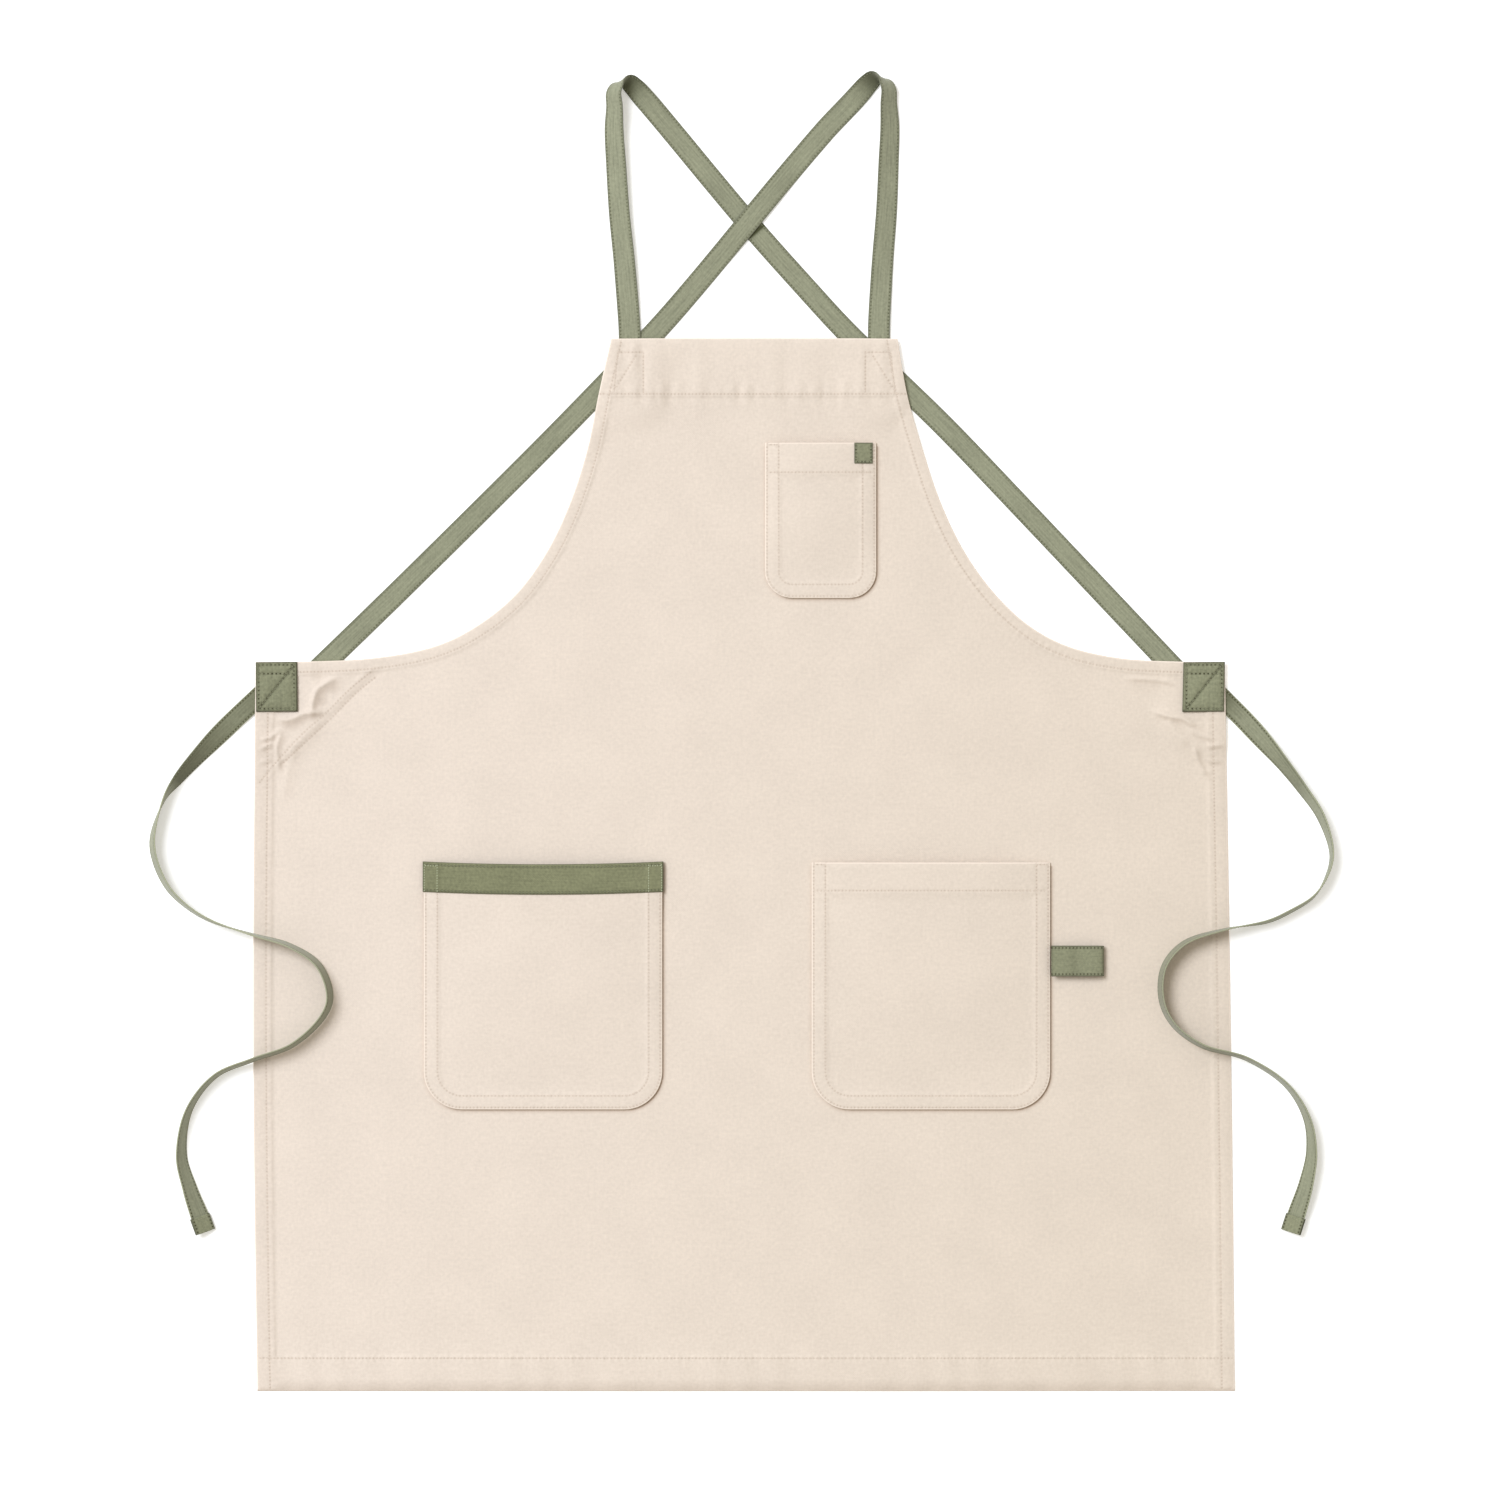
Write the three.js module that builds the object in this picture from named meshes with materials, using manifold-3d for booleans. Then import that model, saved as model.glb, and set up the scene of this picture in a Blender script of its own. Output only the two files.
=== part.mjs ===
// A bib apron of cotton canvas, laid flat with its front up.
// Millimetres, +Z up, +Y from the hem to the bib. Left is the left of the front as seen from above.

import * as THREE from 'three';
import { mergeVertices } from 'three/addons/utils/BufferGeometryUtils.js';
import Module from 'manifold-3d';

// Cloth
const canvas = 1.2;
const hemThickness = 2.0;
const pocketCloth = 1.0;
const turnedCloth = 1.8;
const webbing = 1.2;
const patchCloth = 1.0;
const seamGap = 0.3;

// Apron body
const apronLength = 860;
const bibHeight = 264;
const bibTopWidth = 234;
const waistWidth = 792;
const hemWidth = 799;
const bibBand = 46;
const armholeHem = 10;
const sideHem = 14;
const bottomHem = 26;

// The body lies a little askew: the middle of the bib, of the waist and of the hem, sideways
const bibMiddle = 9.3;
const waistMiddle = -2.2;
const hemMiddle = 2.5;

// Shoulder straps
const strapWidth = 18;
const strapRiseLeft = 213;
const strapRiseRight = 216;
const loopSpread = 213.5;
const loopMiddle = 6.8;
const strapInset = 15.2;
const strapTuck = 44;
const strapWaistInset = 25.5;
const strapWaistDrop = 27;

// Waist ties and the tabs on their ends
const tieWidth = 16;
const tieSwing = 145;
const tieFall = 453;
const tieTuck = 27;
const tabWidth = 17;
const tabLength = 14;
const tabCloth = 0.8;

// Waist patches
const patchWidth = 34;
const patchHeight = 41;

// Hip pockets
const hipPocketWidth = 195;
const hipPocketHeight = 202;
const hipPocketRadius = 31;
const hipPocketDrop = 164;
const hipPocketInsetLeft = 136.8;
const hipPocketInsetRight = 146.3;
const hipMouthRise = 7;
const pocketHem = 25;
const seamAllowance = 9;
const hemEdge = 0.4;

// Binding over the left pocket's mouth
const bindingHeight = 24;
const bindingCloth = 0.8;
const bindingOverhang = 0.8;

// Tool loop beside the right pocket
const toolLoopLength = 44;
const toolLoopHeight = 25;
const toolLoopDrop = 68;
const toolLoopOpening = 5;

// Chest pocket and its label
const chestPocketWidth = 91;
const chestPocketHeight = 127;
const chestPocketRadius = 22;
const chestPocketDrop = 85;
const chestPocketShift = 63.5;
const chestMouthRise = 6.5;
const chestPocketHem = 25;
const labelWidth = 15;
const labelHeight = 17;
const labelInset = 3;
const labelCloth = 0.8;

// Armhole curve: shares of the bib's height down from its top, and of the way out to the waist corner
const armhole = [
  { down: 0.00, outLeft: 0.000, outRight: 0.000 },
  { down: 0.17, outLeft: 0.035, outRight: 0.029 },
  { down: 0.34, outLeft: 0.067, outRight: 0.076 },
  { down: 0.51, outLeft: 0.117, outRight: 0.133 },
  { down: 0.66, outLeft: 0.182, outRight: 0.205 },
  { down: 0.79, outLeft: 0.268, outRight: 0.298 },
  { down: 0.89, outLeft: 0.380, outRight: 0.405 },
  { down: 0.955, outLeft: 0.505, outRight: 0.530 },
  { down: 0.99, outLeft: 0.680, outRight: 0.690 },
  { down: 1.00, outLeft: 0.880, outRight: 0.870 },
];

// Strap run from the bib to the loop: share of the rise, bow outwards as a share of the rise,
// lift of the lower edge in strap widths, tilt in degrees
const strapRun = [
  { up: 0.06, bow: 0.000, lift: 0.09, tilt: 0 },
  { up: 0.30, bow: 0.011, lift: 0.02, tilt: 13 },
  { up: 0.48, bow: 0.023, lift: 0.00, tilt: 18 },
  { up: 0.67, bow: 0.029, lift: 0.00, tilt: 24 },
  { up: 0.80, bow: 0.032, lift: 0.03, tilt: 31 },
  { up: 0.89, bow: 0.027, lift: 0.12, tilt: 42 },
];

// Loop at the top of a strap: place from the loop's top corner and lift of the lower edge, in strap
// widths, with the direction across the strap as a turn and a tilt in degrees
const strapLoop = [
  { inward: -0.31, down: 0.72, lift: 0.20, turn: 5, tilt: 46 },
  { inward: -0.18, down: 0.38, lift: 0.19, turn: 14, tilt: 45 },
  { inward: 0.00, down: 0.18, lift: 0.13, turn: 24, tilt: 42 },
  { inward: 0.30, down: 0.15, lift: 0.05, turn: 32, tilt: 38 },
  { inward: 0.61, down: 0.41, lift: 0.02, turn: 36, tilt: 26 },
  { inward: 0.98, down: 0.82, lift: 0.02, turn: 38, tilt: 12 },
  { inward: 1.59, down: 1.52, lift: 0.00, turn: 39, tilt: 0 },
];

// Strap from the loop down to the waist corner: share of the way, and sideways bow as a share of it
// for the strap from the bib's left and from its right corner
const strapDiagonal = [
  { along: 0.00, bowLeft: 0.0000, bowRight: 0.0015 },
  { along: 0.05, bowLeft: -0.0026, bowRight: 0.0000 },
  { along: 0.12, bowLeft: -0.0065, bowRight: -0.0042 },
  { along: 0.20, bowLeft: -0.0100, bowRight: -0.0100 },
  { along: 0.30, bowLeft: -0.0115, bowRight: -0.0168 },
  { along: 0.38, bowLeft: -0.0110, bowRight: -0.0196 },
  { along: 0.53, bowLeft: -0.0019, bowRight: -0.0190 },
  { along: 0.68, bowLeft: 0.0010, bowRight: -0.0155 },
  { along: 0.84, bowLeft: 0.0030, bowRight: -0.0105 },
  { along: 1.00, bowLeft: 0.0050, bowRight: -0.0040 },
];

// Routes of the ties: share of the swing outwards from the waist edge, share of the fall below the
// waist line, and roll of the flat tie about its length in degrees; past 90 its other face shows
const tieRouteLeft = [
  { out: 0.000, fall: 0.068, roll: 0 },
  { out: 0.136, fall: 0.109, roll: 3 },
  { out: 0.305, fall: 0.164, roll: 38 },
  { out: 0.434, fall: 0.211, roll: 60 },
  { out: 0.520, fall: 0.252, roll: 87 },
  { out: 0.581, fall: 0.322, roll: 107 },
  { out: 0.561, fall: 0.363, roll: 108 },
  { out: 0.488, fall: 0.410, roll: 106 },
  { out: 0.372, fall: 0.445, roll: 101 },
  { out: 0.247, fall: 0.468, roll: 97 },
  { out: 0.015, fall: 0.492, roll: 86 },
  { out: -0.194, fall: 0.512, roll: 79 },
  { out: -0.358, fall: 0.548, roll: 75 },
  { out: -0.420, fall: 0.605, roll: 73 },
  { out: -0.381, fall: 0.640, roll: 75 },
  { out: -0.211, fall: 0.691, roll: 78 },
  { out: 0.015, fall: 0.718, roll: 79 },
  { out: 0.225, fall: 0.747, roll: 78 },
  { out: 0.372, fall: 0.807, roll: 73 },
  { out: 0.417, fall: 0.889, roll: 60 },
  { out: 0.370, fall: 0.950, roll: 45 },
  { out: 0.315, fall: 1.000, roll: 24 },
];
const tieRouteRight = [
  { out: 0.000, fall: 0.070, roll: 0 },
  { out: 0.121, fall: 0.109, roll: 3 },
  { out: 0.308, fall: 0.177, roll: 46 },
  { out: 0.432, fall: 0.228, roll: 60 },
  { out: 0.539, fall: 0.279, roll: 68 },
  { out: 0.601, fall: 0.348, roll: 82 },
  { out: 0.568, fall: 0.390, roll: 88 },
  { out: 0.494, fall: 0.425, roll: 97 },
  { out: 0.370, fall: 0.450, roll: 100 },
  { out: 0.246, fall: 0.468, roll: 99 },
  { out: -0.006, fall: 0.483, roll: 87 },
  { out: -0.235, fall: 0.508, roll: 80 },
  { out: -0.345, fall: 0.550, roll: 78 },
  { out: -0.358, fall: 0.610, roll: 77 },
  { out: -0.290, fall: 0.655, roll: 78 },
  { out: -0.134, fall: 0.692, roll: 79 },
  { out: 0.121, fall: 0.716, roll: 79 },
  { out: 0.347, fall: 0.764, roll: 77 },
  { out: 0.460, fall: 0.822, roll: 71 },
  { out: 0.488, fall: 0.882, roll: 60 },
  { out: 0.458, fall: 0.940, roll: 45 },
  { out: 0.400, fall: 1.000, roll: 24 },
];

// Creases near the waist corners: start and end inwards and down from the corner, as shares of the
// patch's width and height, and the ridge's height as a share of the hem's thickness
const waistCreases = [
  { inward: 1.35, down: 1.00, inwardEnd: 1.90, downEnd: 0.30, ridge: 0.7 },
  { inward: 0.60, down: 1.30, inwardEnd: 1.40, downEnd: 1.05, ridge: 0.8 },
  { inward: 0.20, down: 2.35, inwardEnd: 1.80, downEnd: 0.95, ridge: 0.6 },
];
const creaseHalfWidth = 9;

// The body lies this far beyond what is under it before it slopes down again, over this distance
const liftMargin = 9;
const liftSlope = 20;

// The strap on top stays up for this share of its width beside the crossing, and slopes over this share
const crossingRest = 0.85;
const crossingSlope = 1.6;

// Turn of a strap's edge on its way up to the loop, in degrees
const runTurn = 3;

// A pocket's mouth: how squarely it arches, and the shares of its height where it starts to lie down
// and over which it does
const mouthRoundness = 2.6;
const gapeUntil = 0.45;
const gapeSlope = 0.5;

// Sampling of the curves
const armholeSteps = 26;
const fineStep = 12;
const coarseStep = 70;
const sheetSpare = 20;
const creaseZoneWide = 90;
const creaseZoneHigh = 123;
const cornerZone = 87;
const pocketColumns = 10;
const pocketRows = 6;
const cornerSteps = 6;
const labelColumns = 3;
const foldSteps = 8;
const strapSteps = 90;
const diagonalSteps = 24;
const tieSteps = 66;

// Heights of the cloth layers where they lie on each other
const strapLayer = webbing + seamGap;
const firstHeight = webbing / 2;
const seatOnBody = canvas + seamGap;
const seatOnHem = hemThickness + seamGap;

// Places on the body
const waistLine = apronLength - bibHeight;
const side = { left: -1, right: 1 };
const bibCorner = (s) => bibMiddle + s * bibTopWidth / 2;
const waistCorner = (s) => waistMiddle + s * waistWidth / 2;
const hemCorner = (s) => hemMiddle + s * hemWidth / 2;
const bodyEdge = (s, y) => {
  const share = Math.min(Math.max(y / waistLine, 0), 1);
  return hemCorner(s) + (waistCorner(s) - hemCorner(s)) * share;
};

const colours = {
  cream: { color: 0xf0e4d6, roughness: 0.92, metalness: 0 },
  sage: { color: 0x9ba083, roughness: 0.85, metalness: 0 },
  darkSage: { color: 0x898c69, roughness: 0.88, metalness: 0 },
};
const cloth = (name) => new THREE.MeshStandardMaterial(colours[name]);

const smooth = (t) => {
  const c = Math.min(Math.max(t, 0), 1);
  return c * c * (3 - 2 * c);
};
const mix = (a, b, t) => a + (b - a) * t;
const degree = Math.PI / 180;

// Solids from vertices and faces

function solid(vertices, faces) {
  const geometry = new THREE.BufferGeometry();
  geometry.setAttribute('position', new THREE.Float32BufferAttribute(vertices.flat(), 3));
  geometry.setIndex(faces.flat());
  geometry.computeVertexNormals();
  return geometry;
}

// Closed sheet over a grid of rows and columns, from its lower and upper points
function gridSheet(lower, upper) {
  const rows = lower.length;
  const columns = lower[0].length;
  const vertices = [...lower.flat(), ...upper.flat()];
  const base = rows * columns;
  const at = (r, c) => r * columns + c;
  const faces = [];
  const quad = (a, b, c, d) => faces.push([a, b, c], [a, c, d]);
  for (let r = 0; r < rows - 1; r += 1) {
    for (let c = 0; c < columns - 1; c += 1) {
      quad(base + at(r, c), base + at(r, c + 1), base + at(r + 1, c + 1), base + at(r + 1, c));
      quad(at(r, c), at(r + 1, c), at(r + 1, c + 1), at(r, c + 1));
    }
  }
  const wall = (a, b) => quad(a, b, base + b, base + a);
  for (let c = 0; c < columns - 1; c += 1) {
    wall(at(0, c), at(0, c + 1));
    wall(at(rows - 1, c + 1), at(rows - 1, c));
  }
  for (let r = 0; r < rows - 1; r += 1) {
    wall(at(r, columns - 1), at(r + 1, columns - 1));
    wall(at(r + 1, 0), at(r, 0));
  }
  return solid(vertices, faces);
}

// Closed sheet over straight grid lines, between two height functions
function heightSheet(xs, ys, under, over) {
  const layer = (height) => ys.map((y) => xs.map((x) => [x, y, height(x, y)]));
  return gridSheet(layer(under), layer(over));
}

// Grid lines over a range, fine inside the given spans
function gridLines(from, to, fineSpans) {
  const isFine = (v) => fineSpans.some(([a, b]) => v >= a && v < b);
  const lines = [from];
  while (lines.at(-1) < to) {
    const last = lines.at(-1);
    if (isFine(last)) {
      lines.push(Math.min(last + fineStep, to));
    } else {
      const starts = fineSpans.map(([a]) => a).filter((a) => a > last);
      lines.push(Math.min(last + coarseStep, to, ...starts));
    }
  }
  return lines;
}

// Joins and cuts
const wasm = await Module();
wasm.setup();

function toManifold(geometry) {
  const bare = geometry.clone();
  bare.deleteAttribute('normal');
  bare.deleteAttribute('uv');
  const merged = mergeVertices(bare, 1e-4);
  return new wasm.Manifold(new wasm.Mesh({
    numProp: 3,
    vertProperties: new Float32Array(merged.attributes.position.array),
    triVerts: new Uint32Array(merged.index.array),
  })).asOriginal();
}

function toGeometry(manifold) {
  const mesh = manifold.getMesh();
  const geometry = new THREE.BufferGeometry();
  geometry.setAttribute('position', new THREE.BufferAttribute(mesh.vertProperties, 3));
  geometry.setIndex(new THREE.BufferAttribute(mesh.triVerts, 1));
  geometry.computeVertexNormals();
  return geometry;
}

// Ribbons: a flat section carried along stations, each with a middle point and a direction across.
// No ribbon sinks into the surface that it lies on.

const surface = 0;

function stationsAlong(points, across, count) {
  const path = new THREE.CatmullRomCurve3(points, false, 'centripetal');
  const lean = new THREE.CatmullRomCurve3(across, false, 'centripetal');
  const stations = [];
  for (let i = 0; i <= count; i += 1) {
    const t = path.getUtoTmapping(i / count);
    stations.push({ middle: path.getPoint(t), across: lean.getPoint(t), ahead: path.getTangent(t) });
  }
  return stations;
}

function ribbon(stations, width, thickness) {
  const vertices = [];
  const faces = [];
  const corner = [[-1, -1], [1, -1], [1, 1], [-1, 1]];
  for (const { middle, across, ahead } of stations) {
    const face = new THREE.Vector3().crossVectors(across, ahead).normalize();
    const breadth = new THREE.Vector3().crossVectors(ahead, face).normalize();
    for (const [b, f] of corner) {
      const point = middle.clone()
        .addScaledVector(breadth, b * width / 2)
        .addScaledVector(face, f * thickness / 2);
      vertices.push([point.x, point.y, Math.max(point.z, surface)]);
    }
  }
  for (let i = 0; i < stations.length - 1; i += 1) {
    for (let k = 0; k < 4; k += 1) {
      const a = i * 4 + k;
      const b = i * 4 + (k + 1) % 4;
      faces.push([a, b, b + 4], [a, b + 4, a + 4]);
    }
  }
  const last = vertices.length - 4;
  faces.push([0, 2, 1], [0, 3, 2]);
  faces.push([last, last + 1, last + 2], [last, last + 2, last + 3]);
  return facingOut(solid(vertices, faces));
}

// Turns the faces over where a closed solid came out inside out
function facingOut(geometry) {
  const p = geometry.attributes.position;
  const index = geometry.index.array;
  const [a, b, c] = [new THREE.Vector3(), new THREE.Vector3(), new THREE.Vector3()];
  let volume = 0;
  for (let i = 0; i < index.length; i += 3) {
    a.fromBufferAttribute(p, index[i]);
    b.fromBufferAttribute(p, index[i + 1]);
    c.fromBufferAttribute(p, index[i + 2]);
    volume += a.dot(b.cross(c));
  }
  if (volume < 0) {
    for (let i = 0; i < index.length; i += 3) {
      [index[i + 1], index[i + 2]] = [index[i + 2], index[i + 1]];
    }
    geometry.computeVertexNormals();
  }
  return geometry;
}

// Straps

const strapHalf = strapWidth / 2;
const strapRise = (s) => (s === side.left ? strapRiseLeft : strapRiseRight);

// Direction across a strap, from its outer to its inner edge, for a turn and a tilt
function acrossStrap(s, turn, tilt) {
  const t = turn * degree;
  const e = tilt * degree;
  return new THREE.Vector3(-s * Math.cos(t) * Math.cos(e), Math.sin(t) * Math.cos(e), Math.sin(e));
}

function strapPlaces(s) {
  const bibX = bibCorner(s) - s * strapInset;
  const loopX = loopMiddle + s * loopSpread / 2;
  const waistX = waistCorner(-s) + s * strapWaistInset;
  return {
    tuck: new THREE.Vector2(bibX, apronLength - strapTuck),
    bib: new THREE.Vector2(bibX, apronLength),
    loop: new THREE.Vector2(loopX, apronLength + strapRise(s)),
    waist: new THREE.Vector2(waistX, waistLine - strapWaistDrop),
  };
}

// The diagonal stretch of a strap as points on the surface, from the loop to the waist corner
function diagonalPoints(s) {
  const { loop, waist } = strapPlaces(s);
  const { inward, down } = strapLoop.at(-1);
  const start = new THREE.Vector2(loop.x - s * inward * strapWidth, loop.y - down * strapWidth);
  const way = waist.clone().sub(start);
  const sideways = new THREE.Vector2(way.y, -way.x).multiplyScalar(s);
  const bow = s === side.left ? 'bowLeft' : 'bowRight';
  return strapDiagonal.map((row) => start.clone()
    .addScaledVector(way, row.along)
    .addScaledVector(sideways, row[bow]));
}

// Where the two diagonals cross, on the middle line of the bib
function crossingOf(points) {
  const i = points.findIndex((p, k) => k > 0 && (p.x - bibMiddle) * (points[k - 1].x - bibMiddle) <= 0);
  const share = (bibMiddle - points[i - 1].x) / (points[i].x - points[i - 1].x);
  return points[i - 1].clone().lerp(points[i], share);
}

// The right strap lies on the left one where they cross, and comes down again on both sides
function crossingLift(s, point, crossing) {
  if (s === side.left) return 0;
  const away = point.distanceTo(crossing) / strapWidth;
  return strapLayer * (1 - smooth((away - crossingRest) / crossingSlope));
}

function shoulderStrap(s) {
  const { tuck, bib, loop } = strapPlaces(s);
  const points = [];
  const across = [];
  const add = (x, y, lift, turn, tilt) => {
    const height = lift + strapHalf * Math.sin(tilt * degree) + firstHeight * Math.cos(tilt * degree);
    points.push(new THREE.Vector3(x, y, height));
    across.push(acrossStrap(s, turn, tilt));
  };
  for (const share of [0, 0.5, 1]) {
    add(tuck.x, mix(tuck.y, bib.y, share), strapLayer, 0, 0);
  }
  for (const { up, bow, lift, tilt } of strapRun) {
    const x = mix(bib.x, loop.x, up) + s * bow * strapRise(s);
    add(x, mix(bib.y, loop.y, up), lift * strapWidth, runTurn, tilt);
  }
  for (const { inward, down, lift, turn, tilt } of strapLoop) {
    add(loop.x - s * inward * strapWidth, loop.y - down * strapWidth, lift * strapWidth, turn, tilt);
  }
  const diagonal = diagonalPoints(s);
  const crossing = crossingOf(diagonal);
  const line = new THREE.SplineCurve(diagonal);
  for (let i = 1; i <= diagonalSteps; i += 1) {
    const p = line.getPoint(i / diagonalSteps);
    const ahead = line.getTangent(i / diagonalSteps);
    const turn = Math.atan2(s * -ahead.x, -ahead.y) / degree;
    add(p.x, p.y, crossingLift(s, p, crossing), turn, 0);
  }
  const stations = stationsAlong(points, across, strapSteps);
  for (const station of stations) {
    const lean = Math.asin(station.across.z / station.across.length());
    const resting = strapHalf * Math.abs(Math.sin(lean)) + firstHeight * Math.cos(lean);
    station.middle.z = Math.max(station.middle.z, resting);
  }
  return ribbon(stations, strapWidth, webbing);
}

// Ties

const tieHalf = tieWidth / 2;

// Height of what a tie lies on: the surface outside the body's side, the hemmed body inside it
function underTie(s, x, y) {
  const beyond = s * (x - bodyEdge(s, y));
  return seatOnHem * (1 - smooth((beyond - tieHalf / 2) / tieWidth));
}

// The stretch of a tie inside its tab is straight, and the tab's lower corner rests on the surface
const tabCover = tabLength - tabCloth - seamGap;
const tabWrap = tabCloth + seamGap;
const tabOverhang = (roll) => tabWrap * Math.cos(roll) + (tabWidth - tieWidth) / 2 * Math.sin(roll);

function tieStations(s, route) {
  const corner = waistCorner(s);
  const rows = route.map(({ out, fall, roll }) => new THREE.Vector3(
    corner + s * out * tieSwing,
    waistLine - fall * tieFall,
    roll,
  ));
  const back = rows[0].clone().sub(rows[1]).setLength(tieTuck);
  rows.unshift(rows[0].clone().add(back));
  const plan = new THREE.CatmullRomCurve3(rows, false, 'centripetal');
  const points = [];
  const across = [];
  for (let i = 0; i <= tieSteps; i += 1) {
    const t = i / tieSteps;
    const { x, y, z: rollDegrees } = plan.getPoint(t);
    const ahead = plan.getTangent(t).setZ(0).normalize();
    const roll = Math.max(rollDegrees, 0) * degree;
    const fromEnd = (1 - t) * rows.length;
    const onTab = tabOverhang(roll) * (1 - smooth(fromEnd / 2));
    const sewn = 1 - smooth((s * (x - bodyEdge(s, y)) - seamGap) / (2 * tieWidth));
    const atCorner = y > waistLine - patchHeight - tieWidth ? sewn : 0;
    const lower = Math.max(underTie(s, x, y) * (1 - atCorner), strapLayer * atCorner) + onTab;
    const rise = tieHalf * Math.sin(roll) + firstHeight * Math.abs(Math.cos(roll));
    points.push(new THREE.Vector3(x, y, lower + rise));
    across.push(new THREE.Vector3(-ahead.y * Math.cos(roll), ahead.x * Math.cos(roll), s * Math.sin(roll))
      .multiplyScalar(s));
  }
  const stations = points.map((middle, i) => ({
    middle,
    across: across[i],
    ahead: points[Math.min(i + 1, tieSteps)].clone().sub(points[Math.max(i - 1, 0)]).normalize(),
  }));
  const end = stations.at(-1);
  end.ahead.setZ(0).normalize();
  stations.push({ ...end, middle: end.middle.clone().addScaledVector(end.ahead, tabCover) });
  return stations;
}

const tieRoutes = { left: tieRouteLeft, right: tieRouteRight };

// The tab is a strip folded round the end of its tie, so it is a flat sleeve closed at its end
function endTab(stations) {
  const end = stations.at(-1);
  const along = (distance) => ({ ...end, middle: end.middle.clone().addScaledVector(end.ahead, distance) });
  const whole = [along(-tabCover), along(tabLength - tabCover)];
  const hollow = [along(-tabCover - seamGap), along(seamGap)];
  const outer = ribbon(whole, tabWidth, webbing + 2 * (seamGap + tabCloth));
  const inner = ribbon(hollow, tabWidth + 2 * seamGap, webbing + 2 * seamGap);
  return toGeometry(toManifold(outer).subtract(toManifold(inner)));
}

// Apron body

function armholePoints(s, inset) {
  const key = s === side.left ? 'outLeft' : 'outRight';
  const points = armhole.map((row) => new THREE.Vector2(
    mix(bibCorner(s), waistCorner(s), row[key]),
    apronLength - row.down * bibHeight,
  ));
  const curve = new THREE.SplineCurve(points);
  const line = [];
  for (let i = 0; i <= armholeSteps; i += 1) {
    const t = i / armholeSteps;
    const ahead = curve.getTangent(t);
    const normal = new THREE.Vector2(ahead.y, -ahead.x).multiplyScalar(s);
    line.push(curve.getPoint(t).addScaledVector(normal, inset));
  }
  return line;
}

// Outline of the body, or of what lies inside its hems
function bodyOutline(insets) {
  const { armholeInset, sideInset, bottomInset } = insets;
  const right = armholePoints(side.right, armholeInset);
  const left = armholePoints(side.left, armholeInset);
  return new THREE.Shape([
    new THREE.Vector2(hemCorner(side.left) + sideInset, bottomInset),
    new THREE.Vector2(hemCorner(side.right) - sideInset, bottomInset),
    new THREE.Vector2(waistCorner(side.right) - sideInset, waistLine - armholeInset),
    ...right.reverse(),
    ...left,
    new THREE.Vector2(waistCorner(side.left) + sideInset, waistLine - armholeInset),
  ]);
}

function prism(shape, low, high) {
  const geometry = new THREE.ExtrudeGeometry(shape, { depth: high - low, bevelEnabled: false });
  return geometry.translate(0, 0, low);
}

// What lies under the body: each strap end as a line with the height that it takes
function underlays() {
  const lines = [];
  for (const s of Object.values(side)) {
    const { tuck, bib } = strapPlaces(s);
    lines.push({ from: tuck, to: bib, half: strapHalf, lift: 2 * strapLayer });
    const diagonal = diagonalPoints(s);
    const line = new THREE.SplineCurve(diagonal);
    for (let i = 0; i < diagonalSteps; i += 1) {
      const from = line.getPoint(i / diagonalSteps);
      const to = line.getPoint((i + 1) / diagonalSteps);
      lines.push({ from, to, half: strapHalf, lift: strapLayer });
    }
    const corner = waistCorner(s);
    const patchMiddle = corner - s * patchWidth / 2;
    lines.push({
      from: new THREE.Vector2(patchMiddle, waistLine),
      to: new THREE.Vector2(patchMiddle, waistLine - patchHeight),
      half: patchWidth / 2,
      lift: 2 * strapLayer,
    });
  }
  return lines;
}

const underBody = underlays();

function distanceTo(x, y, from, to) {
  const way = to.clone().sub(from);
  const share = ((x - from.x) * way.x + (y - from.y) * way.y) / way.lengthSq();
  const t = Math.min(Math.max(share, 0), 1);
  return Math.hypot(x - from.x - way.x * t, y - from.y - way.y * t);
}

function creaseLines() {
  const place = (s, inward, down) => new THREE.Vector2(
    waistCorner(s) - s * inward * patchWidth,
    waistLine - down * patchHeight,
  );
  return Object.values(side).flatMap((s) => waistCreases.map((row) => ({
    from: place(s, row.inward, row.down),
    to: place(s, row.inwardEnd, row.downEnd),
    ridge: row.ridge * hemThickness,
  })));
}

const creases = creaseLines();

// Height of the body's underside
function bodyLift(x, y) {
  let lift = 0;
  for (const { from, to, half, lift: high } of underBody) {
    const away = distanceTo(x, y, from, to);
    lift = Math.max(lift, high * (1 - smooth((away - half - liftMargin) / liftSlope)));
  }
  for (const { from, to, ridge } of creases) {
    const away = distanceTo(x, y, from, to);
    lift = Math.max(lift, ridge * (1 - smooth(away / creaseHalfWidth)));
  }
  return lift;
}

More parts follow.
